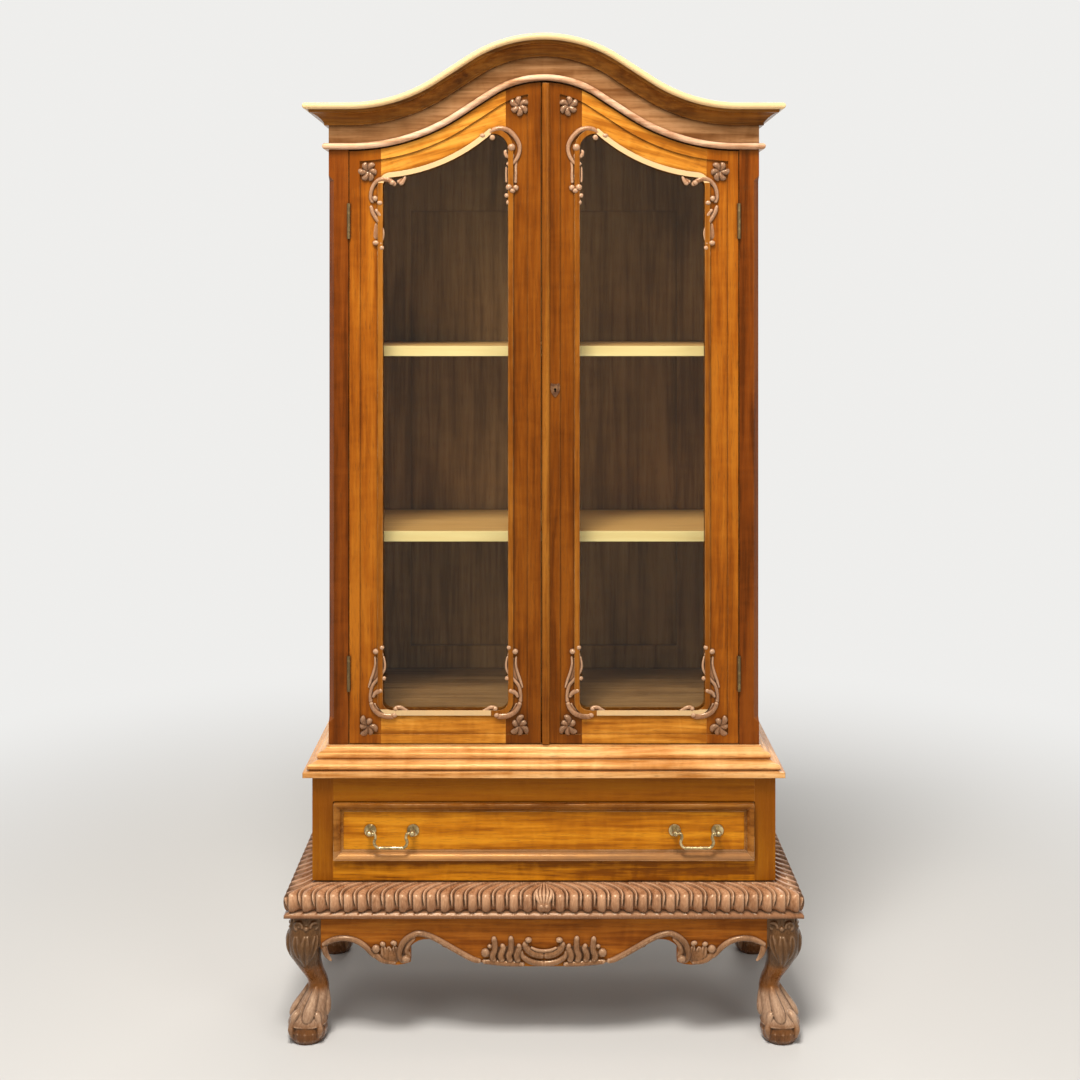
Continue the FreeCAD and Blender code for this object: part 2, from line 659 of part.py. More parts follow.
def leg_shape():
    """The left front leg: block, cabriole shaft and claw-and-ball foot."""
    corner = Vector(-value("stand_half"), value("stand_front_y"), 0)
    block_size = value("leg_block_size")
    leg_height = value("leg_height")
    ball_radius = value("ball_radius")
    ball_height = ball_radius - value("ball_flat")
    ball_offset = value("ball_offset")
    stations = [(leg_height, block_size / 2, block_size * 0.45)]
    for name in ("hip", "knee", "calf", "shin", "ankle", "instep", "claw"):
        stations.append((value(f"{name}_height"), value(f"{name}_offset"), value(f"{name}_radius")))
    stations.append((ball_height, ball_offset, ball_radius * 0.9))
    rings = []
    for height, offset, radius in stations:
        centre = corner + Vector(offset, offset, height)
        rings.append(Part.Wire(Part.makeCircle(radius, centre, Vector(0, 0, 1))))
    shaft = Part.makeLoft(rings, True, False)
    block = Part.makeBox(block_size, block_size, value("leg_block_height"))
    block.translate(corner + Vector(0, 0, value("block_low")))
    centre = corner + Vector(ball_offset, ball_offset, ball_height)
    ball = Part.makeSphere(ball_radius, centre)
    leg = shaft.fuse([block, ball])
    talon_radius = value("talon_radius")
    talon_path = ball_radius + value("talon_proud") - talon_radius
    for quarter in range(4):
        talon = upright_arc(talon_path, talon_radius, value("talon_start"), value("talon_end"))
        talon.rotate(Vector(), Vector(0, 0, 1), 90 * quarter)
        talon.translate(centre)
        leg = leg.fuse(talon)
    floor = Part.makeBox(4 * ball_radius, 4 * ball_radius, ball_radius)
    floor.translate(centre - Vector(2 * ball_radius, 2 * ball_radius, ball_height + ball_radius))
    return leg.cut(floor).removeSplitter()


def gadroon_steps():
    """Section of the gadrooned moulding, as outset from the drawer case and height."""
    low = value("leg_height")
    top = value("stand_top")
    nose = value("gadroon_outset")
    rounding = value("gadroon_nose")
    lobe_top = top - value("gadroon_slope")
    lobe_low = low + value("gadroon_fillet")
    bearing = -value("gadroon_bearing")
    fillet = nose - value("gadroon_setback")
    bend = rounding * math.sqrt(0.5)
    return [
        (bearing, low),
        (bearing, top),
        (0, top),
        (nose - rounding, lobe_top),
        ((nose - rounding + bend, lobe_top - rounding + bend), (nose, lobe_top - rounding)),
        (nose, lobe_low + rounding),
        ((nose - rounding + bend, lobe_low + rounding - bend), (nose - rounding, lobe_low)),
        (fillet, lobe_low),
        (fillet, low),
    ]


def flute(x, y):
    """The groove between two lobes of the gadrooned moulding."""
    height = value("gadroon_height")
    return Part.makeCylinder(value("gadroon_flute"), height, Vector(x, y, value("leg_height")))


def make_stand():
    """Legs, aprons and the gadrooned moulding."""
    half = value("half_base")
    front_y = value("base_front_y")
    back_y = value("back_y")
    nose = value("gadroon_outset")
    pitch = value("gadroon_pitch")
    front = front_run(gadroon_steps(), half, front_y)
    left = left_run(gadroon_steps(), half, front_y, back_y)
    lobes = int((half + nose) / pitch)
    front_flutes = [flute((number + 0.5) * pitch, front_y - nose) for number in range(-lobes, lobes)]
    front = front.cut(front_flutes)
    side_length = back_y - front_y + nose
    side_lobes = int(side_length / pitch)
    side_flutes = [flute(-half - nose, back_y - (number + 0.5) * pitch) for number in range(side_lobes)]
    left = left.cut(side_flutes)
    keep(group("gadroon_moulding", [
        shaped("gadroon_front", front),
        shaped("gadroon_left", left),
        shaped("gadroon_right", mirrored(left)),
    ]))

    thickness = value("apron_thickness")
    apron = outline_face(front_apron_steps(), on_front).extrude(Vector(0, thickness, 0))
    apron.translate(Vector(0, value("stand_front_y"), 0))
    keep(shaped("front_apron", apron))

    block = value("leg_block_size")
    side_half = (back_y - value("stand_front_y")) / 2 - block
    middle_y = (back_y + value("stand_front_y")) / 2
    side = outline_face(side_apron_steps(side_half), lambda y, z: Vector(0, y, z))
    side = side.extrude(Vector(thickness, 0, 0))
    side.translate(Vector(-value("stand_half"), middle_y, 0))
    keep(group("side_aprons", [
        shaped("left_side_apron", side),
        shaped("right_side_apron", mirrored(side)),
    ]))

    rear_board = board(
        "rear_apron_board",
        ("-places.block_inner_x", "places.back_y - sizes.apron_thickness", "sizes.rear_apron_height"),
        ("2 * places.block_inner_x", "sizes.apron_thickness", "sizes.leg_height - sizes.rear_apron_height"),
    )
    rear_rail = board(
        "rear_rail",
        ("-(places.half_base - sizes.gadroon_bearing)", "places.back_y - sizes.gadroon_bearing", "sizes.leg_height"),
        ("2 * (places.half_base - sizes.gadroon_bearing)", "sizes.gadroon_bearing", "sizes.gadroon_height"),
    )
    keep(group("rear_apron", [rear_board, rear_rail]))

    front_left = leg_shape()
    middle = Vector(0, (value("back_y") + value("stand_front_y")) / 2, 0)
    rear_left = front_left.mirror(middle, Vector(0, 1, 0))
    keep(shaped("front_left_leg", front_left))
    keep(shaped("front_right_leg", mirrored(front_left)))
    keep(group("rear_legs", [
        shaped("rear_left_leg", rear_left),
        shaped("rear_right_leg", mirrored(rear_left)),
    ]))


# Drawer case

def make_drawer_case():
    """Posts, rails, sides, back and runners round the drawer."""
    posts = board_pair(
        "base_post",
        ("places.post_inner", "places.base_front_y", "places.stand_top"),
        ("sizes.base_post_size", "sizes.base_post_size", "sizes.base_height"),
    )
    upper_rail = board(
        "upper_rail",
        ("-places.post_inner", "places.base_front_y", "places.opening_high"),
        ("2 * places.post_inner", "sizes.rail_thickness", "sizes.upper_rail_height"),
    )
    lower_rail = board(
        "lower_rail",
        ("-places.post_inner", "places.base_front_y", "places.stand_top"),
        ("2 * places.post_inner", "sizes.rail_thickness", "sizes.lower_rail_height"),
    )
    keep(group("base_front_frame", [*posts, upper_rail, lower_rail]))
    keep(group("base_sides", board_pair(
        "base_side",
        ("places.side_inner", "places.base_front_y + sizes.base_post_size", "places.stand_top"),
        ("sizes.base_side_thickness", "sizes.base_depth - sizes.base_post_size", "sizes.base_height"),
    )))
    keep(board(
        "base_back",
        ("-places.side_inner", "places.base_back_y", "places.stand_top"),
        ("2 * places.side_inner", "sizes.base_back_thickness", "sizes.base_height"),
    ))
    keep(board(
        "dust_board",
        ("-places.side_inner", "places.base_front_y + sizes.base_post_size", "places.stand_top"),
        (
            "2 * places.side_inner",
            "places.base_back_y - places.base_front_y - sizes.base_post_size",
            "sizes.dust_board_thickness",
        ),
    ))
    run_length = "places.base_back_y - places.base_front_y - sizes.base_post_size"
    run_y = "places.base_front_y + sizes.base_post_size"
    runners = board_pair(
        "runner",
        ("places.side_inner - sizes.runner_width", run_y, "places.opening_low - sizes.runner_thickness"),
        ("sizes.runner_width", run_length, "sizes.runner_thickness"),
    )
    guides = board_pair(
        "guide",
        ("places.post_inner", run_y, "places.opening_low"),
        ("places.side_inner - places.post_inner", run_length, "sizes.guide_height"),
    )
    kickers = board_pair(
        "kicker",
        ("places.side_inner - sizes.runner_width", run_y, "places.opening_high"),
        ("sizes.runner_width", run_length, "sizes.runner_thickness"),
    )
    keep(group("drawer_runners", [*runners, *guides, *kickers]))
    keep(board(
        "waist_board",
        ("-places.half_base", "places.base_front_y", "places.base_top"),
        ("2 * places.half_base", "sizes.base_depth", "sizes.waist_board_thickness"),
    ))


# Drawer

def drawer_front_body():
    """Drawer front with the groove that takes the bottom."""
    body = new_body("drawer_front")
    outline = sketch_on(body, "XY_Plane", "drawer_front_plan")
    draw_rectangle(outline, "2 * places.drawer_half", "sizes.drawer_front_thickness")
    pad(body, outline, "drawer_front_pad", "places.drawer_high - places.drawer_low")
    groove = sketch_on(body, "YZ_Plane", "drawer_front_groove")
    draw_rectangle(
        groove,
        "sizes.groove_depth",
        "sizes.drawer_bottom_thickness",
        left="sizes.drawer_front_thickness - sizes.groove_depth",
        low="places.drawer_bottom_low - places.drawer_low",
    )
    pocket(body, groove, "drawer_front_slot", "2 * places.drawer_half", reverse=True)
    place_at(body, "-places.drawer_half", "places.base_front_y", "places.drawer_low")
    return body


def drawer_side_body(side):
    """Drawer side with the groove that takes the bottom."""
    label = f"{SIDE_NAMES[side]}_drawer_side"
    body = new_body(label)
    outline = sketch_on(body, "XY_Plane", f"{label}_plan")
    draw_rectangle(outline, "sizes.drawer_side_thickness", "places.drawer_side_length")
    pad(body, outline, f"{label}_pad", "sizes.drawer_side_height")
    groove = sketch_on(body, "XZ_Plane", f"{label}_groove")
    inner = "0 mm" if side == RIGHT else "sizes.drawer_side_thickness / 2"
    draw_rectangle(
        groove,
        "sizes.drawer_side_thickness / 2",
        "sizes.drawer_bottom_thickness",
        left=inner,
        low="sizes.drawer_bottom_rise",
    )
    pocket(body, groove, f"{label}_slot", "places.drawer_side_length")
    left_x = "-places.drawer_half" if side == LEFT else "places.drawer_half - sizes.drawer_side_thickness"
    place_at(body, left_x, "places.drawer_side_y", "places.drawer_side_low")
    return body


def drawer_frame_member(angle, half_length, half_height):
    """One length of the drawer's mitred front moulding, before it is turned into place."""
    width = value("drawer_frame_width")
    proud = value("drawer_frame_proud")
    steps = [
        (0, 0),
        (0, proud),
        (width * 0.25, proud),
        ((width * 0.55, proud * 0.7), (width * 0.75, proud * 0.3)),
        (width * 0.75, proud * 0.15),
        (width, proud * 0.15),
        (width, 0),
    ]
    face = outline_face(steps, lambda inward, out: Vector(-half_length, -out, -half_height + inward))
    run = face.extrude(Vector(2 * half_length, 0, 0))
    for side in (LEFT, RIGHT):
        large = 2 * half_length
        block = Part.makeBox(large, large, large, Vector(0, -large / 2, -large / 2))
        block.rotate(Vector(), Vector(0, 1, 0), -45 if side == RIGHT else 225)
        block.translate(Vector(side * half_length, 0, -half_height))
        run = run.cut(block)
    return run


def make_drawer():
    """The drawer with its front moulding and handles."""
    keep(drawer_front_body())
    keep(group("drawer_sides", [
        drawer_side_body(LEFT),
        drawer_side_body(RIGHT),
        board(
            "drawer_back",
            (
                "-places.drawer_half + sizes.drawer_side_thickness",
                "places.base_front_y + sizes.drawer_depth - sizes.drawer_side_thickness",
                "places.drawer_bottom_low + sizes.drawer_bottom_thickness",
            ),
            (
                "2 * (places.drawer_half - sizes.drawer_side_thickness)",
                "sizes.drawer_side_thickness",
                "sizes.drawer_side_height - sizes.drawer_bottom_rise - sizes.drawer_bottom_thickness",
            ),
        ),
    ]))
    keep(board(
        "drawer_bottom",
        (
            "-places.drawer_half + sizes.drawer_side_thickness / 2",
            "places.drawer_side_y - sizes.groove_depth",
            "places.drawer_bottom_low",
        ),
        (
            "2 * places.drawer_half - sizes.drawer_side_thickness",
            "places.drawer_side_length + sizes.groove_depth",
            "sizes.drawer_bottom_thickness",
        ),
    ))

    half_length = value("drawer_half")
    half_height = (value("drawer_high") - value("drawer_low")) / 2
    centre = Vector(0, value("base_front_y"), value("drawer_low") + half_height)
    members = []
    for name, turn, reach, rise in (
        ("low", 0, half_length, half_height),
        ("high", 180, half_length, half_height),
        ("left", 90, half_height, half_length),
        ("right", -90, half_height, half_length),
    ):
        member = drawer_frame_member(turn, reach, rise)
        member.rotate(Vector(), Vector(0, 1, 0), turn)
        member.translate(centre)
        members.append(shaped(f"drawer_moulding_{name}", member))
    keep(group("drawer_front_moulding", members))
    make_handles()


def handle_post(x):
    """Rose, post, pierced ball and inside nut of one handle post."""
    face_y = value("base_front_y")
    z = value("handle_z")
    outward = Vector(0, -1, 0)
    projection = value("handle_projection")
    inside_y = face_y + value("drawer_front_thickness")
    rose = Part.makeCylinder(value("handle_rose_radius"), value("handle_rose_thickness"), Vector(x, face_y, z), outward)
    shank_start = Vector(x, inside_y + value("handle_nut_thickness"), z)
    shank_length = shank_start.y - face_y + projection
    shank = Part.makeCylinder(value("handle_post_radius"), shank_length, shank_start, outward)
    ball = Part.makeSphere(value("handle_ball_radius"), Vector(x, face_y - projection, z))
    hole_radius = value("bail_pin_radius") + value("pin_clearance")
    reach = value("handle_ball_radius")
    hole = Part.makeCylinder(hole_radius, 2 * reach, Vector(x - reach, face_y - projection, z), Vector(1, 0, 0))
    return rose.fuse([shank, ball]).cut(hole).removeSplitter()


def handle_nut(x):
    """The nut that holds a handle post inside the drawer."""
    inside_y = value("base_front_y") + value("drawer_front_thickness")
    z = value("handle_z")
    corners = []
    for corner in range(6):
        angle = math.radians(60 * corner)
        radius = value("handle_nut_radius")
        corners.append((x + radius * math.cos(angle), z + radius * math.sin(angle)))
    face = outline_face(corners, lambda px, pz: Vector(px, inside_y, pz))
    nut = face.extrude(Vector(0, value("handle_nut_thickness"), 0))
    depth = value("handle_nut_thickness")
    shank = Part.makeCylinder(value("handle_post_radius"), depth, Vector(x, inside_y, z), Vector(0, 1, 0))
    return nut.cut(shank)


def bail_shape(x):
    """The swinging bail of a handle whose middle is at `x`."""
    axis_y = value("base_front_y") - value("handle_projection")
    z = value("handle_z")
    ball = value("handle_ball_radius")
    radius = value("bail_radius")
    pin_radius = value("bail_pin_radius")
    arm = value("handle_span") / 2 - ball - 2 * pin_radius
    grip = value("bail_grip_half")
    drop = value("bail_drop")
    neck_drop = drop * 0.45
    steps = [
        (-arm, z),
        ((-arm + (arm - grip) * 0.25, z - neck_drop / 2), (-arm + (arm - grip) * 0.1, z - neck_drop)),
        ((-grip - (arm - grip) * 0.75, z - drop * 0.85), (-grip, z - drop)),
        (grip, z - drop),
        ((grip + (arm - grip) * 0.75, z - drop * 0.85), (arm - (arm - grip) * 0.1, z - neck_drop)),
        ((arm - (arm - grip) * 0.25, z - neck_drop / 2), (arm, z)),
    ]
    spine = outline_edges(steps, lambda px, pz: Vector(x + px, axis_y, pz))
    bail = None
    for edge in spine:
        start = edge.valueAt(edge.FirstParameter)
        ring = Part.Wire(Part.makeCircle(radius, start, edge.tangentAt(edge.FirstParameter)))
        piece = Part.Wire(edge).makePipeShell([ring], True, False)
        elbow = Part.makeSphere(radius, start)
        bail = piece.fuse(elbow) if bail is None else bail.fuse([piece, elbow])
    bail = bail.fuse(Part.makeSphere(radius, Vector(x + arm, axis_y, z)))
    for side in (LEFT, RIGHT):
        tip = Vector(x + side * value("handle_span") / 2, axis_y, z)
        length = value("handle_span") / 2 - arm
        bail = bail.fuse(Part.makeCylinder(pin_radius, length, tip, Vector(-side, 0, 0)))
    return bail.removeSplitter()


def make_handles():
    """Two bail handles on the drawer front, and the holes for their posts."""
    posts = []
    for side in (LEFT, RIGHT):
        middle = side * value("handle_reach")
        keep(shaped(f"{SIDE_NAMES[side]}_bail", bail_shape(middle)))
        for end in (LEFT, RIGHT):
            x = middle + end * value("handle_span") / 2
            name = f"{SIDE_NAMES[side]}_{SIDE_NAMES[end]}"
            posts.append(shaped(f"handle_post_{name}", handle_post(x)))
            posts.append(shaped(f"handle_nut_{name}", handle_nut(x)))
    keep(group("handle_posts", posts))
    front = nodes["drawer_front"]
    front.Label = "drawer_front_blank"
    del nodes["drawer_front"]
    holes = []
    for side in (LEFT, RIGHT):
        for end in (LEFT, RIGHT):
            x = f"{side} * sizes.handle_reach + {end} * sizes.handle_span / 2"
            holes.append(rod(
                f"post_hole_{SIDE_NAMES[side]}_{SIDE_NAMES[end]}",
                "sizes.handle_post_radius",
                "sizes.drawer_front_thickness",
                (x, "places.base_front_y", "places.handle_z"),
                Vector(0, 1, 0),
            ))
    keep(cut("drawer_front", front, holes))


# Waist moulding

def waist_steps():
    """Section of the waist moulding, as outset from the drawer case and height."""
    nose = value("waist_outset")
    low = value("base_top")
    nose_top = low + value("waist_nose")
    shelf = value("case_bottom")
    top = value("waist_top")
    inner = -value("case_setback")
    rise = value("waist_rise")
    return [
        (0, low),
        (nose, low),
        (nose, nose_top),
        (nose * 0.3, nose_top + 1),
        ((nose * 0.55, shelf - 1), (nose * 0.1, shelf + rise * 0.15)),
        (-nose * 0.2, shelf + rise * 0.2),
        (-nose * 0.6, shelf + rise * 0.3),
        ((-nose * 0.45, shelf + rise * 0.5), (-nose * 0.7, shelf + rise * 0.68)),
        (-nose * 0.8, shelf + rise * 0.72),
        ((inner * 0.72, shelf + rise * 0.78), (inner * 0.86, top - rise * 0.1)),
        (inner * 0.86, top),
        (inner, top),
        (inner, shelf),
        (0, shelf),
    ]


def make_waist():
    """The mitred moulding where the upper case stands on the drawer case."""
    half = value("half_base")
    front_y = value("base_front_y")
    left = left_run(waist_steps(), half, front_y, value("back_y"))
    keep(group("waist_moulding", [
        shaped("waist_front", front_run(waist_steps(), half, front_y)),
        shaped("waist_left", left),
        shaped("waist_right", mirrored(left)),
    ]))


# Upper case

def chamfer_prism(side):
    """What the stopped chamfer takes off a front post."""
    size = value("post_chamfer")
    x = side * value("half_case")
    y = value("case_front_y")
    low = value("case_bottom") + value("chamfer_low_stop")
    high = value("post_top") - value("chamfer_high_stop")
    tips = [Vector(x, y, low), Vector(x, y, high)]
    rings = []
    for z in (low + size, high - size):
        ring = [Vector(x - side * size, y, z), Vector(x, y + size, z), Vector(x, y, z)]
        rings.append(Part.makePolygon(ring + ring[:1]))
    body = Part.makeLoft(rings, True, True)
    for tip, ring in zip(tips, rings):
        base = Part.Face(ring)
        points = [vertex.Point for vertex in ring.Vertexes]
        faces = [base]
        for start, end in zip(points, points[1:] + points[:1]):
            if tip.distanceToPoint(start) + tip.distanceToPoint(end) == start.distanceToPoint(end):
                continue
            faces.append(Part.Face(Part.makePolygon([tip, start, end, tip])))
        body = body.fuse(Part.Solid(Part.Shell(faces)))
    return body


def make_case_posts():
    """Front posts with stopped chamfers and pockets for the hinge leaves."""
    posts = board_pair(
        "post_blank",
        ("places.case_post_inner", "places.case_front_y", "places.case_bottom"),
        ("sizes.post_width", "sizes.front_thickness", "places.post_top - places.case_bottom"),
    )
    finished = []
    for side, blank in zip((LEFT, RIGHT), posts):
        name = SIDE_NAMES[side]
        chamfer = shaped(f"{name}_chamfer", chamfer_prism(side))
        pockets = [leaf_pocket(side, level, fixed=True) for level in ("lower", "upper")]
        finished.append(cut(f"{name}_case_post", blank, [chamfer, *pockets]))
    keep(group("case_posts", finished))


def leaf_pocket(side, level, fixed):
    """The room that a hinge leaf takes in a post or in a door's edge."""
    name = f"{SIDE_NAMES[side]}_{level}_{'post' if fixed else 'door'}_pocket"
    inner = "places.case_post_inner" if fixed else "places.door_hinge_x - sizes.hinge_leaf_thickness"
    low_x = inner if side == RIGHT else f"-({inner}) - sizes.hinge_leaf_thickness"
    return board(
        name,
        (low_x, "places.case_front_y", f"places.{level}_hinge_z - sizes.hinge_height / 2"),
        ("sizes.hinge_leaf_thickness", "sizes.hinge_leaf_width", "sizes.hinge_height"),
    )


def make_side_panels():
    """Side panels housed for the floor and the ceiling."""
    panels = board_pair(
        "side_blank",
        ("places.case_side_inner", "places.carcase_y", "places.case_bottom"),
        (
            "sizes.side_thickness",
            "places.back_y - places.carcase_y",
            "sizes.case_height - sizes.cornice_cap",
        ),
    )
    for side, blank in zip((LEFT, RIGHT), panels):
        name = SIDE_NAMES[side]
        low_x = "places.case_side_inner" if side == RIGHT else "-places.case_side_inner - sizes.housing_depth"
        floor_housing = board(
            f"{name}_floor_housing",
            (low_x, "places.carcase_y", "places.floor_low"),
            ("sizes.housing_depth", "places.back_face_y - places.carcase_y", "sizes.floor_thickness"),
        )
        ceiling_housing = board(
            f"{name}_ceiling_housing",
            (low_x, "places.carcase_y", "places.ceiling_end_low"),
            ("sizes.housing_depth", "places.back_y - places.carcase_y", "sizes.ceiling_thickness"),
        )
        keep(cut(f"{name}_side_panel", blank, [floor_housing, ceiling_housing]))


def make_back():
    """Framed back: four frame members and a muntin round two thin panels."""
    half = value("case_side_inner")
    face_y = value("back_face_y")
    thickness = value("back_thickness")
    low = value("case_bottom")
    drop = value("ceiling_low_drop")
    stile_inner = half - value("back_stile_width")
    muntin_half = value("back_muntin_width") / 2
    panel_low = value("floor_top") + value("back_rail_height")
    panel_high = value("cornice_end_z") - value("back_top_rail_drop")
    groove = value("groove_depth")
    panel_thickness = value("back_panel_thickness")
    panel_y = face_y + (thickness - panel_thickness) / 2
    blank = arched_board(drop, (-half, half), low, face_y, thickness)
    panels = []
    for side in (LEFT, RIGHT):
        width = stile_inner - muntin_half
        low_x = muntin_half if side == RIGHT else -stile_inner
        window = Part.makeBox(width, thickness, panel_high - panel_low, Vector(low_x, face_y, panel_low))
        panel = Part.makeBox(
            width + 2 * groove,
            panel_thickness,
            panel_high - panel_low + 2 * groove,
            Vector(low_x - groove, panel_y, panel_low - groove),
        )
        blank = blank.cut(window).cut(panel)
        panels.append(shaped(f"{SIDE_NAMES[side]}_back_panel", panel))
    frame = shaped("back_frame_blank", blank)
    tall = f"sizes.case_height + {int(arch_rise())}"
    members = []
    for side in (LEFT, RIGHT):
        name = SIDE_NAMES[side]
        low_x = "places.case_side_inner - sizes.back_stile_width" if side == RIGHT else "-places.case_side_inner"
        region = board(
            f"{name}_back_stile_room",
            (low_x, "places.back_face_y", "places.case_bottom"),
            ("sizes.back_stile_width", "sizes.back_thickness", tall),
        )
        members.append(common(f"{name}_back_stile", frame, region))
    inner = "places.case_side_inner - sizes.back_stile_width"
    rooms = (
        (
            "back_bottom_rail",
            f"-({inner})",
            f"2 * ({inner})",
            "places.case_bottom",
            "sizes.floor_rise + sizes.back_rail_height",
        ),
        (
            "back_top_rail",
            f"-({inner})",
            f"2 * ({inner})",
            "places.cornice_end_z - sizes.back_top_rail_drop",
            tall,
        ),
        (
            "back_muntin",
            "-sizes.back_muntin_width / 2",
            "sizes.back_muntin_width",
            "places.floor_top + sizes.back_rail_height",
            "places.cornice_end_z - sizes.back_top_rail_drop - places.floor_top - sizes.back_rail_height",
        ),
    )
    for name, low_x, width, low_z, height in rooms:
        region = board(
            f"{name}_room",
            (low_x, "places.back_face_y", low_z),
            (width, "sizes.back_thickness", height),
        )
        members.append(common(name, frame, region))
    keep(group("back_frame", members + panels))


def cornice_steps():
    """Section of the cornice, as outset from the upper case and drop from its top."""
    nose = value("cornice_nose")
    outset = value("cornice_outset")
    height = value("cornice_height")
    cap = value("cornice_cap")
    inner = -value("side_thickness")
    return [
        (inner, 0),
        (outset - nose / 3, 0),
        ((outset, nose / 2), (outset - nose / 3, nose)),
        (outset - nose * 0.85, nose + 1),
        (outset - nose * 0.95, nose + 6),
        (outset - nose * 1.4, nose + 7),
        ((outset * 0.38, height * 0.62), (outset * 0.18, height - 6)),
        (outset * 0.18, height - 1),
        (0, height),
        (0, cap),
        (inner, cap),
    ]


def bead_steps():
    """Section of the frieze bead, as outset from the upper case and drop from the cornice's top."""
    low = value("frieze_drop")
    high = low - value("bead_height")
    outset = value("bead_outset")
    flat = outset * 0.65
    return [(0, high), (flat, high), ((outset, (high + low) / 2), (flat, low)), (0, low)]


def arched_run(steps, drop_to_z):
    """The front length of a moulding swept along the arch and mitred at both ends."""
    half = value("half_case")
    front_y = value("case_front_y")
    reach = half + max(point[0] for step in steps for point in as_points(step))
    section = outline_face(steps, lambda outset, drop: Vector(-reach, front_y - outset, drop_to_z(drop)))
    path = Part.Wire(outline_edges(arch_steps(0, reach), lambda x, z: Vector(x, front_y, z)))
    run = path.makePipeShell([section.OuterWire], True, False)
    block = mitre_block(half, front_y, behind=True)
    return run.cut(block).cut(mirrored(block))


def make_cornice():
    """Frieze board, bead, cornice front and cornice returns."""
    half = value("half_case")
    front_y = value("case_front_y")
    back_y = value("back_y")
    end_z = value("cornice_end_z")

    def height_of(drop):
        return end_z - drop

    def at_height(steps):
        raised = []
        for step in steps:
            points = tuple((outset, height_of(drop)) for outset, drop in as_points(step))
            raised.append(points if len(points) == 2 else points[0])
        return raised

    thickness = value("front_thickness")
    frieze = arched_band(value("cornice_cap"), value("frieze_drop"), half, front_y, thickness)
    keep(shaped("frieze_board", frieze))
    keep(shaped("cornice_front", arched_run(cornice_steps(), height_of)))
    cornice_left = left_run(at_height(cornice_steps()), half, front_y, back_y)
    keep(group("cornice_returns", [
        shaped("cornice_left_return", cornice_left),
        shaped("cornice_right_return", mirrored(cornice_left)),
    ]))
    bead_left = left_run(at_height(bead_steps()), half, front_y, back_y)
    keep(group("frieze_bead", [
        shaped("bead_front", arched_run(bead_steps(), height_of)),
        shaped("bead_left_return", bead_left),
        shaped("bead_right_return", mirrored(bead_left)),
    ]))


def bolt_hole(level):
    """Square keeper mortise for a bolt of the left door."""
    half = value("door_bolt_radius") + value("keeper_play")
    depth = value("door_bolt_travel") + value("door_bolt_gap")
    corner = Vector(-value("door_bolt_x") - half, bolt_y() - half, value("floor_top") - depth)
    if level == "bottom":
        return Part.makeBox(2 * half, 2 * half, depth, corner)
    corner.z = crown_height(value("ceiling_low_drop"), value("door_bolt_x")) - depth
    return Part.makeBox(2 * half, 2 * half, value("ceiling_thickness") + 2 * depth, corner)


def make_inside():
    """Floor, ceiling, plinth rail and shelves of the upper case."""
    housed = value("case_side_inner") + value("housing_depth")
    carcase_y = value("carcase_y")
    depth = value("back_y") - carcase_y
    ceiling = arched_band(value("ceiling_drop"), value("ceiling_low_drop"), housed, carcase_y, depth)
    keep(shaped("ceiling_board", ceiling.cut(bolt_hole("top"))))
    floor_blank = board(
        "floor_blank",
        ("-places.case_side_inner - sizes.housing_depth", "places.carcase_y", "places.floor_low"),
        (
            "2 * (places.case_side_inner + sizes.housing_depth)",
            "places.back_face_y - places.carcase_y",
            "sizes.floor_thickness",
        ),
    )
    keep(cut("case_floor", floor_blank, [shaped("bottom_keeper_hole", bolt_hole("bottom"))]))
    keep(board(
        "plinth_rail",
        ("-places.case_post_inner", "places.case_front_y", "places.case_bottom"),
        ("2 * places.case_post_inner", "sizes.front_thickness", "sizes.waist_rise"),
    ))
    bearers = []
    for level in ("lower", "upper"):
        top = f"places.floor_top + sizes.{level}_shelf_rise"
        keep(board(
            f"{level}_shelf",
            (
                "-places.case_side_inner + sizes.shelf_play",
                "places.shelf_y",
                f"{top} - sizes.shelf_thickness",
            ),
            (
                "2 * (places.case_side_inner - sizes.shelf_play)",
                "places.bearer_length - sizes.shelf_play",
                "sizes.shelf_thickness",
            ),
        ))
        bearers.extend(board_pair(
            f"{level}_bearer",
            (
                "places.case_side_inner - sizes.bearer_size",
                "places.shelf_y",
                f"{top} - sizes.shelf_thickness - sizes.bearer_size",
            ),
            ("sizes.bearer_size", "places.bearer_length", "sizes.bearer_size"),
        ))
    keep(group("shelf_bearers", bearers))


# Doors

def door_edges(side):
    """Low and high x of a door."""
    hinge = value("door_hinge_x")
    gap_middle = -value("meeting_offset")
    half_gap = value("door_gap") / 2
    if side == LEFT:
        return -hinge, gap_middle - half_gap
    return gap_middle + half_gap, hinge


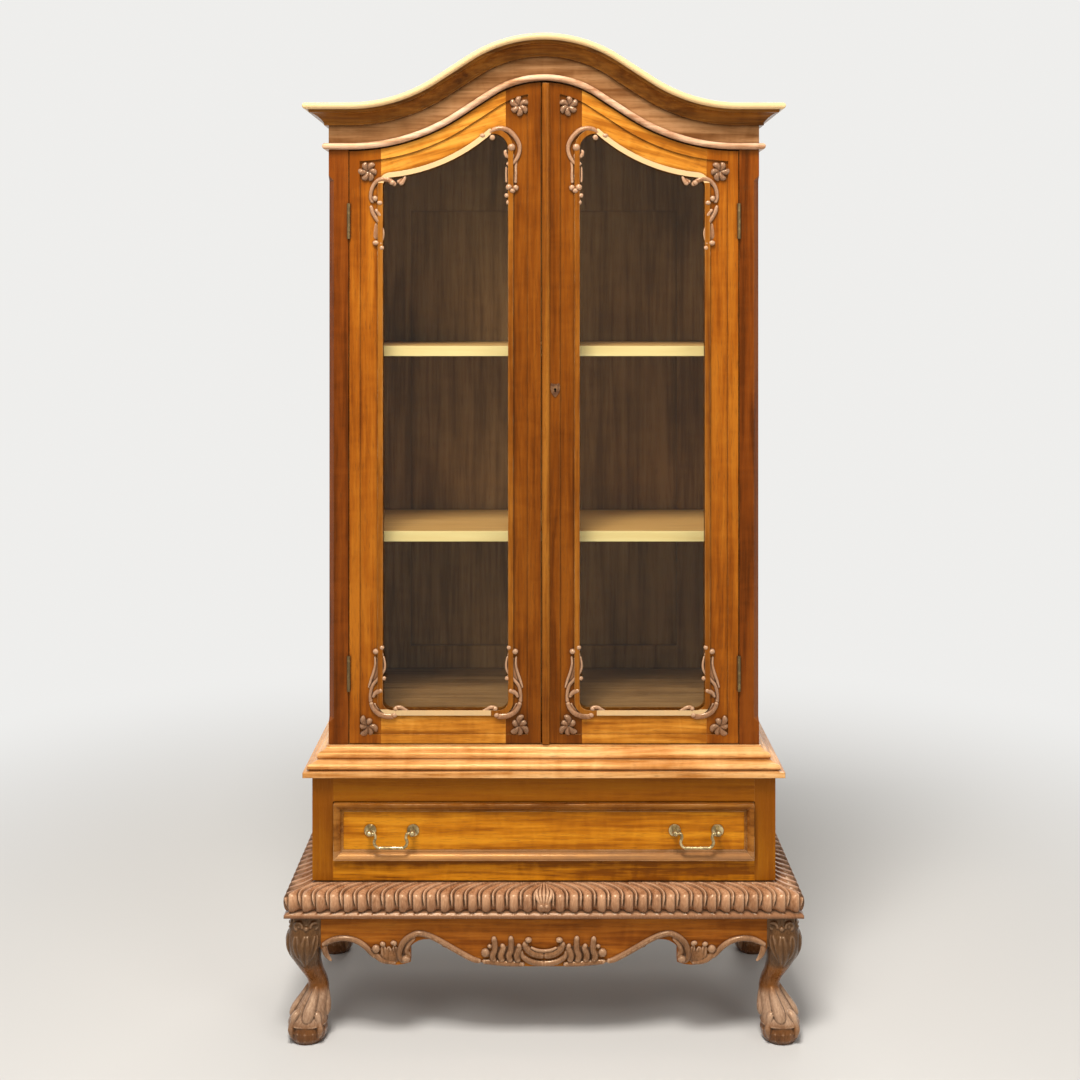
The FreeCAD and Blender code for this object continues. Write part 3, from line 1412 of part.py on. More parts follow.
def bead_outline(side):
    """Outer edge of the bead round a door's glass."""
    low = value("door_bottom") + value("bead_bottom_rise")
    end_top = value("door_end_top")
    outer = value("bead_outer")
    inner = value("bead_inner")
    width = value("bead_shoulder") - inner
    rise = value("bead_shoulder_height")
    shoulder_z = end_top + value("bead_shoulder_rise")
    turn_z = shoulder_z - rise
    radius = (width * width + rise * rise) / (2 * width)
    half_turn = (math.pi + math.atan2(rise, width - radius)) / 2
    bend = (inner + radius + radius * math.cos(half_turn), turn_z + radius * math.sin(half_turn))
    corner = value("bead_corner")
    cut_off = corner * (1 - math.sqrt(0.5))
    corner_z = end_top - value("bead_outer_drop")
    steps = [
        (outer - corner, low),
        (inner + corner, low),
        ((inner + cut_off, low + cut_off), (inner, low + corner)),
        (inner, turn_z),
        (bend, (value("bead_shoulder"), shoulder_z)),
        ((value("bead_middle"), end_top - value("bead_middle_drop")), (outer - corner, corner_z)),
        ((outer - cut_off, corner_z - cut_off), (outer, corner_z - corner)),
        (outer, low + corner),
        ((outer - cut_off, low + cut_off), (outer - corner, low)),
    ]
    return outline_face(steps, lambda x, z: Vector(side * x, 0, z))


def sight_face(side, margin):
    """The visible outline of a door's glass, made larger by `margin` all round."""
    inward = margin - value("sight_bead_width")
    face = bead_outline(side)
    return face.makeOffset2D(inward, 2) if inward else face


def thick(face, front_y, thickness):
    """A front outline given thickness towards the back."""
    solid = face.extrude(Vector(0, thickness, 0))
    solid.translate(Vector(0, front_y, 0))
    return solid


def door_blank(side):
    """The whole door frame in one piece, before it is parted into stiles and rails."""
    low_x, high_x = door_edges(side)
    low = value("door_bottom")
    drop = value("door_drop")
    front_y = value("case_front_y")
    field_y = value("door_field_y")
    proud = value("border_proud")
    core = arched_board(drop, (low_x, high_x), low, field_y, value("door_thickness") - proud)
    hinge_border = value("hinge_border_width")
    meeting_border = side * value("meeting_border_inner")
    if side == LEFT:
        inner_x = (low_x + hinge_border, meeting_border)
    else:
        inner_x = (meeting_border, high_x - hinge_border)
    border = arched_board(drop, (low_x, high_x), low, front_y, proud)
    field = arched_board(drop + hinge_border, inner_x, low + value("bottom_border_width"), front_y, proud)
    opening = thick(sight_face(side, value("frame_margin")), front_y, value("door_thickness"))
    rebate_y = value("door_back_y") - value("rebate_depth")
    rebate = thick(sight_face(side, value("rebate_margin")), rebate_y, value("rebate_depth"))
    return core.fuse(border.cut(field)).cut(opening).cut(rebate).removeSplitter()


def keyhole(front_y, depth):
    """A keyhole through the right meeting stile, its shield and its lock."""
    radius = value("keyhole_radius")
    x = value("keyhole_x")
    z = value("lock_z")
    length = value("keyhole_length")
    round_part = Part.makeCylinder(radius, depth, Vector(x, front_y, z + length / 2 - radius), Vector(0, 1, 0))
    slot = Part.makeBox(radius, depth, length - radius, Vector(x - radius / 2, front_y, z - length / 2))
    return round_part.fuse(slot)


def scroll_corners():
    """Centre, radius and first and last direction of the rounded corners of the right door's bead."""
    corner = value("bead_corner")
    low = value("door_bottom") + value("bead_bottom_rise") + corner
    outer = value("bead_outer") - corner
    inner = value("bead_inner") + corner
    high = value("door_end_top") - value("bead_outer_drop") - corner
    width = value("bead_shoulder") - value("bead_inner")
    rise = value("bead_shoulder_height")
    radius = (width * width + rise * rise) / (2 * width)
    turn_z = value("door_end_top") + value("bead_shoulder_rise") - rise
    shoulder_end = math.degrees(math.atan2(rise, width - radius))
    return (
        ("outer_low", outer, low, corner, 270, 360),
        ("inner_low", inner, low, corner, 180, 270),
        ("outer_high", outer, high, corner, 0, 90),
        ("shoulder", value("bead_inner") + radius, turn_z, radius, shoulder_end, 180),
    )


def scroll(centre_x, centre_z, radius, first, last):
    """A rounded rib with curled ends on one corner of the right door's bead."""
    rib = value("scroll_rib")
    y = value("door_field_y") - value("sight_bead_proud")
    centre = Vector(centre_x, y, centre_z)
    path = radius - value("sight_bead_width") / 2
    overrun = value("scroll_overrun")
    ring = upright_arc(path, rib, first - overrun, last + overrun)
    ring.translate(centre)
    for angle in (first - overrun, last + overrun):
        turn = math.radians(angle)
        end = centre + Vector(path * math.cos(turn), 0, path * math.sin(turn))
        ring = ring.fuse(Part.makeSphere(value("scroll_ball"), end))
    room = Part.makeBox(4 * radius, radius, 4 * radius, centre - Vector(2 * radius, radius, 2 * radius))
    return ring.common(room)


def rosette(x, z):
    """A carved leaf rosette: five petals round a boss."""
    radius = value("rosette_radius")
    thickness = value("rosette_thickness")
    y = value("door_field_y")
    petal = radius * 0.36
    outward = Vector(0, -1, 0)
    flower = Part.makeCylinder(petal, thickness, Vector(x, y, z), outward)
    for number in range(5):
        angle = math.radians(90 + 72 * number)
        reach = radius - petal
        centre = Vector(x + reach * math.cos(angle), y, z + reach * math.sin(angle))
        flower = flower.fuse(Part.makeCylinder(petal, thickness * 0.8, centre, outward))
    return flower.removeSplitter()


def door_carvings(side):
    """The ribs on the corners of a door's bead and the rosettes in the corners of its field."""
    name = SIDE_NAMES[side]
    low_z = value("door_bottom") + value("rosette_low_rise")
    end_top = value("door_end_top")
    outer = value("rosette_outer")
    inner = value("rosette_inner")
    carved = [(f"scroll_{corner}", scroll(*shape)) for corner, *shape in scroll_corners()]
    carved.append(("rosette_outer_low", rosette(outer, low_z)))
    carved.append(("rosette_inner_low", rosette(inner, low_z)))
    carved.append(("rosette_outer_high", rosette(outer, end_top - value("rosette_outer_drop"))))
    carved.append(("rosette_inner_high", rosette(inner, end_top + value("rosette_inner_rise"))))
    return [
        shaped(f"{name}_{label}", shape if side == RIGHT else mirrored(shape))
        for label, shape in carved
    ]


def hinge_knuckle(side, z, high, moving):
    """One knuckle with the tab that joins it to its leaf."""
    x = side * value("pin_x")
    y = value("pin_y")
    leaf = value("hinge_leaf_thickness")
    inner = value("door_hinge_x") - leaf if moving else value("case_post_inner")
    barrel = Part.makeCylinder(value("knuckle_radius"), high, Vector(x, y, z))
    low_x = inner if side == RIGHT else -inner - leaf
    tab = Part.makeBox(leaf, value("case_front_y") - y, high, Vector(low_x, y, z))
    return barrel.fuse(tab)


def hinge_leaf(side, level, moving):
    """A butt hinge leaf: the door's leaf has two knuckles, the post's leaf three."""
    leaf = value("hinge_leaf_thickness")
    height = value("hinge_height")
    low = value(f"{level}_hinge_z") - height / 2
    inner = value("door_hinge_x") - leaf if moving else value("case_post_inner")
    low_x = inner if side == RIGHT else -inner - leaf
    plate = Part.makeBox(leaf, value("hinge_leaf_width"), height, Vector(low_x, value("case_front_y"), low))
    pitch = height / 5
    play = value("knuckle_play") / 2
    for number in range(5):
        if (number % 2 == 1) == moving:
            plate = plate.fuse(hinge_knuckle(side, low + number * pitch + play, pitch - 2 * play, moving))
    bore = value("hinge_pin_radius") + (value("pin_clearance") if moving else 0)
    hole = Part.makeCylinder(bore, height, Vector(side * value("pin_x"), value("pin_y"), low))
    return plate.cut(hole).removeSplitter()


def make_hinges():
    """The posts' leaves and pins of the four butt hinges."""
    fixed = []
    for side in (LEFT, RIGHT):
        for level in ("lower", "upper"):
            name = f"{SIDE_NAMES[side]}_{level}"
            fixed.append(shaped(f"{name}_post_leaf", hinge_leaf(side, level, moving=False)))
            pin_x = f"{side} * places.pin_x"
            pin_z = f"places.{level}_hinge_z - sizes.hinge_height / 2"
            fixed.append(rod(
                f"{name}_pin",
                "sizes.hinge_pin_radius",
                "sizes.hinge_height",
                (pin_x, "places.pin_y", pin_z),
            ))
    keep(group("case_hinge_leaves", fixed))


def door_room(side, part):
    """The region of a door that one stile or rail takes."""
    hinge_inner = "sizes.hinge_stile_inner"
    meeting_inner = "sizes.meeting_stile_inner"
    half_gap = "sizes.door_gap / 2"
    hinge_width = f"places.door_hinge_x - {hinge_inner}"
    tall = "sizes.case_height + sizes.arch_crown_radius"
    label = f"{SIDE_NAMES[side]}_door_{part}_room"
    depth = "sizes.door_thickness"
    y = "places.case_front_y"
    if part == "hinge_stile":
        low_x = "-places.door_hinge_x" if side == LEFT else hinge_inner
        return board(label, (low_x, y, "places.door_bottom"), (hinge_width, depth, tall))
    if part == "meeting_stile":
        low_x = f"-{meeting_inner}" if side == LEFT else f"-sizes.meeting_offset + {half_gap}"
        width = f"{meeting_inner} - ({side}) * (-sizes.meeting_offset + ({side}) * {half_gap})"
        return board(label, (low_x, y, "places.door_bottom"), (width, depth, tall))
    low_x = f"-{hinge_inner}" if side == LEFT else meeting_inner
    width = f"{hinge_inner} - {meeting_inner}"
    split = "places.door_bottom + sizes.lock_height"
    if part == "bottom_rail":
        return board(label, (low_x, y, "places.door_bottom"), (width, depth, "sizes.lock_height"))
    return board(label, (low_x, y, split), (width, depth, tall))


def make_door(side):
    """One door: frame, glass, beads, carvings and moving hinge leaves."""
    name = SIDE_NAMES[side]
    blank = shaped(f"{name}_door_blank", door_blank(side))
    pockets = [leaf_pocket(side, level, fixed=False) for level in ("lower", "upper")]
    if side == RIGHT:
        depth = value("door_thickness")
        pockets.append(shaped("stile_keyhole", keyhole(value("case_front_y"), depth)))
    frame = cut(f"{name}_door_frame", blank, pockets)
    for part in ("hinge_stile", "meeting_stile", "top_rail", "bottom_rail"):
        keep(common(f"{name}_door_{part}", frame, door_room(side, part)))

    rebate_y = value("door_back_y") - value("rebate_depth")
    glass_face = sight_face(side, value("rebate_margin") - value("glass_play"))
    keep(shaped(f"{name}_door_glass", thick(glass_face, rebate_y, value("glass_thickness"))))
    bead_y = rebate_y + value("glass_thickness")
    bead_depth = value("rebate_depth") - value("glass_thickness")
    rear_bead = thick(sight_face(side, value("rebate_margin")), bead_y, bead_depth)
    rear_bead = rear_bead.cut(thick(sight_face(side, 0), bead_y, bead_depth))
    front_y = value("door_field_y") - value("sight_bead_proud")
    front_bead = thick(sight_face(side, value("sight_bead_width")), front_y, value("sight_bead_proud"))
    front_bead = front_bead.cut(thick(sight_face(side, 0), front_y, value("sight_bead_proud")))
    keep(group(f"{name}_door_beads", [
        shaped(f"{name}_sight_bead", front_bead),
        shaped(f"{name}_glazing_bead", rear_bead),
    ]))
    keep(group(f"{name}_door_carvings", door_carvings(side)))
    keep(group(f"{name}_door_hinge_leaves", [
        shaped(f"{name}_{level}_door_leaf", hinge_leaf(side, level, moving=True)) for level in ("lower", "upper")
    ]))


def make_astragal():
    """The half-round on the right door's meeting edge."""
    low_x = door_edges(RIGHT)[0]
    width = value("astragal_width")
    proud = value("astragal_proud")
    y = value("case_front_y")
    steps = [(low_x, y), ((low_x + width / 2, y - proud), (low_x + width, y))]
    low = value("door_bottom")
    top = crown_height(value("door_drop"), low_x + width) - value("door_gap")
    face = outline_face(steps, lambda px, py: Vector(px, py, low))
    keep(shaped("astragal", face.extrude(Vector(0, 0, top - low))))


def make_lock():
    """Keyhole shield, lock case and sliding bolt of the right door."""
    z = value("lock_z")
    width = value("escutcheon_width")
    height = value("escutcheon_height")
    x = value("keyhole_x")
    thickness = value("escutcheon_thickness")
    y = value("case_front_y") - thickness
    shield = [
        (x - width * 0.42, z + height / 2),
        ((x, z + height * 0.44), (x + width * 0.42, z + height / 2)),
        ((x + width * 0.5, z + height * 0.1), (x, z - height / 2)),
        ((x - width * 0.5, z + height * 0.1), (x - width * 0.42, z + height / 2)),
    ]
    edges = outline_edges(shield, on_front)
    plate = thick(Part.Face(Part.Wire(edges)), y, thickness)
    keep(shaped("keyhole_shield", plate.cut(keyhole(y, thickness))))

    wall = value("lock_wall")
    play = value("lock_play")
    lock_x = door_edges(RIGHT)[0] + value("door_gap")
    lock_y = value("door_back_y")
    case_height = value("lock_case_height")
    lock_depth = value("lock_thickness")
    case = Part.makeBox(value("lock_width"), lock_depth, case_height, Vector(lock_x, lock_y, z - case_height / 2))
    bolt_height = value("bolt_height")
    bolt_depth = lock_depth - 2 * wall
    bolt_length = value("bolt_length")
    cavity = Part.makeBox(
        bolt_length + wall,
        bolt_depth + 2 * play,
        bolt_height + 2 * play,
        Vector(lock_x, lock_y + wall - play, z - bolt_height / 2 - play),
    )
    keep(shaped("lock_case", case.cut(cavity).cut(keyhole(lock_y, wall))))
    keep(shaped("lock_bolt", Part.makeBox(
        bolt_length,
        bolt_depth,
        bolt_height,
        Vector(lock_x + play, lock_y + wall, z - bolt_height / 2),
    )))


def bolt_y():
    """How far back the left door's bolts lie."""
    return value("door_back_y") + value("bolt_plate_thickness") + value("barrel_width") / 2 - 1


def door_bolt(level):
    """A sliding bolt with its knob, and the barrel on its plate."""
    up = 1 if level == "top" else -1
    x = -value("door_bolt_x")
    y = bolt_y()
    gap = value("door_bolt_gap")
    if level == "top":
        tip = crown_height(value("ceiling_low_drop"), value("door_bolt_x") + 2 * value("door_bolt_radius")) - gap
    else:
        tip = value("floor_top") + gap
    radius = value("door_bolt_radius")
    length = value("door_bolt_length")
    travel = value("door_bolt_travel")
    axis = Vector(0, 0, -up)
    shank = Part.makeCylinder(radius, length, Vector(x, y, tip), axis)
    knob_z = tip - up * (length - 2 * radius)
    knob = Part.makeCylinder(radius, 3 * radius, Vector(x, y, knob_z), Vector(0, 1, 0))
    barrel_height = value("barrel_height")
    barrel_end = knob_z + up * (2 * radius + travel)
    low = min(barrel_end, barrel_end + up * barrel_height)
    width = value("barrel_width")
    back_y = value("door_back_y")
    plate_thickness = value("bolt_plate_thickness")
    barrel = Part.makeBox(width, y - back_y + radius + 2, barrel_height, Vector(x - width / 2, back_y, low))
    plate_height = value("bolt_plate_height")
    plate_low = min(tip - up * gap, tip - up * (gap + plate_height))
    plate = Part.makeBox(width + 8, plate_thickness, plate_height, Vector(x - width / 2 - 4, back_y, plate_low))
    bore = radius + value("pin_clearance")
    hole = Part.makeCylinder(bore, barrel_height + 2, Vector(x, y, low - 1))
    return shank.fuse(knob).removeSplitter(), plate.fuse(barrel).cut(hole).removeSplitter()


def make_door_bolts():
    """Top and bottom bolts inside the left door."""
    barrels = []
    for level in ("top", "bottom"):
        bolt, barrel = door_bolt(level)
        keep(shaped(f"{level}_door_bolt", bolt))
        barrels.append(shaped(f"{level}_bolt_barrel", barrel))
    keep(group("door_bolt_barrels", barrels))


def main():
    """Build every piece, check it and write it."""
    make_stand()
    make_drawer_case()
    make_drawer()
    make_waist()
    make_case_posts()
    make_side_panels()
    make_back()
    make_cornice()
    make_inside()
    make_hinges()
    for side in (LEFT, RIGHT):
        make_door(side)
    make_astragal()
    make_lock()
    make_door_bolts()
    doc.recompute()
    for thing in doc.Objects:
        if "Invalid" in thing.State or "Error" in thing.State:
            raise RuntimeError(f"{thing.Label} failed to build")
    for label, node in nodes.items():
        if node.Shape.isNull() or not node.Shape.isValid():
            raise RuntimeError(f"{label} has no sound shape")
    os.makedirs("parts", exist_ok=True)
    for label, node in nodes.items():
        node.Shape.exportStep(os.path.join("parts", f"{label}.step"))
        print(f"{label}: {len(node.Shape.Solids)} solids, {node.Shape.Volume / 1000:.1f} cm3")
    print(f"{len(nodes)} nodes")


main()
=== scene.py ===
"""Looks of a glazed display cabinet on a drawer stand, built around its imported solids.

Metres. X runs to the right, Y to the back, Z up, and the origin lies on the floor under the middle.
Carved shapes are given in millimetres: across the face that they lie on, up from the floor, and proud.
"""

import logging
import math
from dataclasses import dataclass
from enum import Enum
from typing import Callable, Sequence

import bpy
import numpy as np
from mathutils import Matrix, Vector
from mathutils.bvhtree import BVHTree


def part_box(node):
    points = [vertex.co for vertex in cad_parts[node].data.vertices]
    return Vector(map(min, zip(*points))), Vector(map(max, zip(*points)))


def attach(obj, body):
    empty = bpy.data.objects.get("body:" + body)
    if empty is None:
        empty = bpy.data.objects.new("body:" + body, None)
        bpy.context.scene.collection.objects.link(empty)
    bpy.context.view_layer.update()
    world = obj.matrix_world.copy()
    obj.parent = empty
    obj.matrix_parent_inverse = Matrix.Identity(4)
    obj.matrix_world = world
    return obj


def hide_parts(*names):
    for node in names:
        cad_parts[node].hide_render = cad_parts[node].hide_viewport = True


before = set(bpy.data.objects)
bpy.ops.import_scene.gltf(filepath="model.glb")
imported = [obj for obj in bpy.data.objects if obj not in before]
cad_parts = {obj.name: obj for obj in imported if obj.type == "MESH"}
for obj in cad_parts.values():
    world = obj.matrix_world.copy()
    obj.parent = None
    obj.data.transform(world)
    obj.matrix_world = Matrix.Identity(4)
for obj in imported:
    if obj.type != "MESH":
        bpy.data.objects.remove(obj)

LOG = logging.getLogger("cabinet")
MM = 0.001
LEFT = -1
RIGHT = 1
SIDE_NAMES = {LEFT: "left", RIGHT: "right"}
FULL_TURN = 2 * math.pi

# Farther out than any part of the cabinet
FAR = 9.0

Colour = tuple[float, float, float]
Point = tuple[float, float, float]
Knot = tuple[float, ...]
Stop = tuple[float, Colour]


# Shader arithmetic

class Signal:
    """One value of a shader, so that sums on values add their Math nodes."""

    def __init__(self, shader: "Shader", socket: bpy.types.NodeSocket) -> None:
        """Wrap a socket.

        Args:
            shader: the material the socket belongs to.
            socket: the output that carries the value.
        """
        self.shader = shader
        self.socket = socket

    def math(self, operation: str, *others: "Signal | float", clamp: bool = False) -> "Signal":
        """Add one Math node.

        Args:
            operation: the node's operation.
            others: the node's further inputs.
            clamp: whether the result is kept between 0 and 1.

        Returns:
            The node's result.
        """
        settings = {"operation": operation, "use_clamp": clamp}
        inputs = dict(enumerate((self, *others)))
        return self.shader.signal("ShaderNodeMath", settings, inputs)

    def __add__(self, other: "Signal | float") -> "Signal":
        """Sum with a signal or number."""
        return self.math("ADD", other)

    __radd__ = __add__

    def __mul__(self, other: "Signal | float") -> "Signal":
        """Product with a signal or number."""
        return self.math("MULTIPLY", other)

    __rmul__ = __mul__

    def __sub__(self, other: "Signal | float") -> "Signal":
        """This less a signal or number."""
        return self.math("SUBTRACT", other)

    def __rsub__(self, other: float) -> "Signal":
        """A number less this."""
        return self * -1.0 + other

    def __truediv__(self, other: "Signal | float") -> "Signal":
        """This over a signal or number."""
        return self.math("DIVIDE", other)

    def __pow__(self, power: "Signal | float") -> "Signal":
        """This raised to a power."""
        return self.math("POWER", power)

    def __abs__(self) -> "Signal":
        """This without its sign."""
        return self.math("ABSOLUTE")

    def beyond(self, limit: float) -> "Signal":
        """1 where this is more than a limit, else 0."""
        return self.math("GREATER_THAN", limit)

    def clamp(self) -> "Signal":
        """This kept between 0 and 1."""
        return self.math("ADD", 0.0, clamp=True)

    def ramp(self, low: float, high: float) -> "Signal":
        """A smooth step: 0 below low, 1 above high, or the other way round where low is the higher.

        Args:
            low: where the step starts.
            high: where the step ends.

        Returns:
            The step.
        """
        settings = {"interpolation_type": "SMOOTHSTEP"}
        inputs = {"Value": self, "From Min": low, "From Max": high}
        return self.shader.signal("ShaderNodeMapRange", settings, inputs)


class Shader:
    """The nodes of one material, or of the surroundings."""

    def __init__(self, holder: bpy.types.Material | bpy.types.World) -> None:
        """Start with no nodes.

        Args:
            holder: what the nodes belong to.
        """
        holder.use_nodes = True
        self.holder = holder
        self.tree = holder.node_tree
        self.tree.nodes.clear()

    @classmethod
    def named(cls, name: str) -> "Shader":
        """The nodes of a new material."""
        return cls(bpy.data.materials.new(name))

    def node(self, kind: str, settings: dict | None = None, inputs: dict | None = None) -> bpy.types.Node:
        """Add any node.

        Args:
            kind: the node's type.
            settings: its properties, set before its sockets.
            inputs: numbers, colours or links by socket name or number.

        Returns:
            The node.
        """
        made = self.tree.nodes.new(kind)
        for name, amount in (settings or {}).items():
            if name == "stops":
                self.set_stops(made.color_ramp, amount)
            else:
                setattr(made, name, amount)
        for name, amount in (inputs or {}).items():
            self.feed(made.inputs[name], amount)
        return made

    def feed(self, socket: bpy.types.NodeSocket, amount: object) -> None:
        """Set or link one socket.

        Args:
            socket: the input.
            amount: a signal, an output socket, a number or a colour.
        """
        if isinstance(amount, Signal):
            self.tree.links.new(amount.socket, socket)
        elif isinstance(amount, bpy.types.NodeSocket):
            self.tree.links.new(amount, socket)
        elif socket.type == "RGBA" and len(amount) == 3:
            socket.default_value = (*amount, 1.0)
        else:
            socket.default_value = amount

    @staticmethod
    def set_stops(ramp: bpy.types.ColorRamp, stops: Sequence[Stop]) -> None:
        """Give a colour ramp its stops.

        Args:
            ramp: the ramp.
            stops: place and colour of each stop.
        """
        for number, (place, colour) in enumerate(stops):
            stop = ramp.elements[number] if number < 2 else ramp.elements.new(place)
            stop.position = place
            stop.color = (*colour, 1.0)

    def signal(
        self,
        kind: str,
        settings: dict | None = None,
        inputs: dict | None = None,
        output: str | int = 0,
    ) -> Signal:
        """Add a node and wrap one of its outputs.

        Args:
            kind: the node's type.
            settings: its properties.
            inputs: its sockets.
            output: which output is wrapped.

        Returns:
            The wrapped output.
        """
        return Signal(self, self.node(kind, settings, inputs).outputs[output])

    def place(self) -> bpy.types.NodeSocket:
        """Where a point of the surface lies in the row frame at rest."""
        return self.node("ShaderNodeTexCoord").outputs["Object"]

    def axes(self, vector: object) -> tuple[Signal, Signal, Signal]:
        """The three numbers of a vector.

        Args:
            vector: the vector's socket.

        Returns:
            Its x, y and z.
        """
        split = self.node("ShaderNodeSeparateXYZ", inputs={"Vector": vector})
        return tuple(Signal(self, split.outputs[axis]) for axis in "XYZ")

    def vector(self, x: "Signal | float", y: "Signal | float", z: "Signal | float") -> bpy.types.NodeSocket:
        """A vector of three numbers.

        Args:
            x: first number.
            y: second number.
            z: third number.

        Returns:
            The vector's socket.
        """
        return self.node("ShaderNodeCombineXYZ", inputs={"X": x, "Y": y, "Z": z}).outputs[0]

    def mapped(self, vector: object, **how: Point) -> bpy.types.NodeSocket:
        """A vector moved, turned or scaled.

        Args:
            vector: the vector's socket.
            how: Location, Rotation or Scale.

        Returns:
            The new vector's socket.
        """
        return self.node("ShaderNodeMapping", inputs={"Vector": vector, **how}).outputs[0]

    def noise(self, vector: object, scale: float, detail: float = 2.0, distortion: float = 0.0) -> Signal:
        """Smooth noise.

        Args:
            vector: where it is read.
            scale: waves for each metre.
            detail: how many finer layers.
            distortion: how much it swirls.

        Returns:
            The noise, about 0 to 1.
        """
        inputs = {"Vector": vector, "Scale": scale, "Detail": detail, "Distortion": distortion}
        return self.signal("ShaderNodeTexNoise", {"normalize": True}, inputs)

    def ramped(self, factor: Signal, *stops: Stop) -> bpy.types.NodeSocket:
        """A colour picked by a value.

        Args:
            factor: the value.
            stops: place and colour of each stop.

        Returns:
            The colour's socket.
        """
        return self.node("ShaderNodeValToRGB", {"stops": stops}, {"Fac": factor}).outputs[0]

    def blend(self, factor: "Signal | float", first: object, second: object) -> bpy.types.NodeSocket:
        """Two colours mixed.

        Args:
            factor: how much of the second.
            first: the first colour.
            second: the second colour.

        Returns:
            The mixed colour's socket.
        """
        mixed = self.node("ShaderNodeMix", {"data_type": "RGBA"}, {0: factor, 6: first, 7: second})
        return mixed.outputs[2]

    def bump(self, height: Signal, depth: float, strength: float, edge: float) -> bpy.types.NodeSocket:
        """A bumped normal on softened edges.

        Args:
            height: the bump's height, 0 to 1.
            depth: how deep that height is.
            strength: how strongly it shows.
            edge: radius of the softened edges.

        Returns:
            The normal's socket.
        """
        soft = self.node("ShaderNodeBevel", {"samples": 4}, {"Radius": edge})
        inputs = {"Height": height, "Distance": depth, "Strength": strength, "Normal": soft.outputs[0]}
        return self.node("ShaderNodeBump", inputs=inputs).outputs[0]

    def crevice(self, reach: float, shut: float = 0.45, bare: float = 0.92) -> Signal:
        """How deep a point lies in a corner or groove, where dust gathers and where shade is painted.

        Args:
            reach: the size of the corners that count.
            shut: open share of the view from the deepest corners.
            bare: open share from which nothing is darkened.

        Returns:
            0 in the open, 1 in the deepest corners.
        """
        in_view = self.signal("ShaderNodeAmbientOcclusion", {"samples": 6}, {"Distance": reach}, "AO")
        return in_view.ramp(bare, shut)

    def finish(self, inputs: dict) -> bpy.types.Material:
        """End the material in one Principled shader.

        Args:
            inputs: that shader's sockets.

        Returns:
            The material.
        """
        surface = self.node("ShaderNodeBsdfPrincipled", inputs=inputs)
        return self.output(surface.outputs[0])

    def output(self, surface: object, kind: str = "ShaderNodeOutputMaterial") -> bpy.types.Material:
        """End the nodes in an output.

        Args:
            surface: the shader's socket.
            kind: the output node's type.

        Returns:
            What the nodes belong to.
        """
        self.node(kind, inputs={"Surface": surface})
        return self.holder


# Finishes

class Grain(Enum):
    """Which way the grain of a board runs."""

    ALONG_X = "x"
    ALONG_Y = "y"
    ALONG_Z = "z"


@dataclass(frozen=True)
class WoodTone:
    """The colours of one batch of timber."""

    name: str
    light: Colour
    middle: Colour
    dark: Colour
    pore: Colour = (0.035, 0.011, 0.004)
    roughness: float = 0.26
    coat: float = 0.045
    figure: float = 1.0
    # Pale colour of edges and exposed places: partly wear, partly painted highlight.
    worn_and_highlight: Colour = (0.66, 0.34, 0.11)
    wear_and_highlight: float = 0.30
    rub: float = 1.6 * MM

    def stops(self, reach: float) -> tuple[Stop, ...]:
        """Its colours as the stops of a ramp, so far to both sides of its middle."""
        return (0.5 - reach, self.dark), (0.5, self.middle), (0.5 + reach, self.light)


# Brighter and more golden than the stiles: partly the wood's own colour, partly painted light from above.
GOLDEN = WoodTone(
    "golden_mahogany", (0.660, 0.285, 0.040), (0.510, 0.185, 0.018), (0.310, 0.092, 0.007), figure=1.1,
)
STILE = WoodTone("stile_mahogany", (0.385, 0.118, 0.0085), (0.300, 0.078, 0.0045), (0.185, 0.040, 0.002))
MEETING = WoodTone("meeting_mahogany", (0.225, 0.060, 0.0042), (0.165, 0.038, 0.0022), (0.095, 0.019, 0.001))
POST = WoodTone("post_mahogany", (0.200, 0.045, 0.0040), (0.145, 0.028, 0.0022), (0.075, 0.013, 0.001))
ROLL = WoodTone(
    "roll_mahogany", (0.320, 0.112, 0.013), (0.230, 0.068, 0.006), (0.140, 0.034, 0.003),
    worn_and_highlight=(0.86, 0.62, 0.32), wear_and_highlight=0.4,
)
FRIEZE = WoodTone("frieze_mahogany", (0.400, 0.200, 0.085), (0.285, 0.128, 0.048), (0.155, 0.056, 0.017))
# Pale cream: a painted highlight on the frieze bead.
MOULDING = WoodTone(
    "moulding_mahogany", (0.720, 0.480, 0.320), (0.580, 0.340, 0.200), (0.330, 0.150, 0.070),
    worn_and_highlight=(0.92, 0.72, 0.52),
)
# Dark: partly the wood's own colour, partly painted shade of the downward-facing cove.
CORNICE = WoodTone(
    "cornice_mahogany", (0.250, 0.086, 0.011), (0.155, 0.046, 0.005), (0.070, 0.017, 0.002),
    worn_and_highlight=(0.86, 0.60, 0.30),
)
# Pale: partly the wood's own colour, partly painted light on the upward slopes.
WAIST = WoodTone(
    "waist_mahogany", (0.850, 0.490, 0.200), (0.680, 0.330, 0.110), (0.440, 0.165, 0.035),
    worn_and_highlight=(0.90, 0.64, 0.36), wear_and_highlight=0.5, rub=2.5 * MM,
)
# Bright golden: partly the wood's own colour, partly painted light on the lower rail.
RAIL = WoodTone(
    "rail_mahogany", (0.680, 0.270, 0.012), (0.540, 0.185, 0.006), (0.200, 0.052, 0.002), figure=1.1,
)
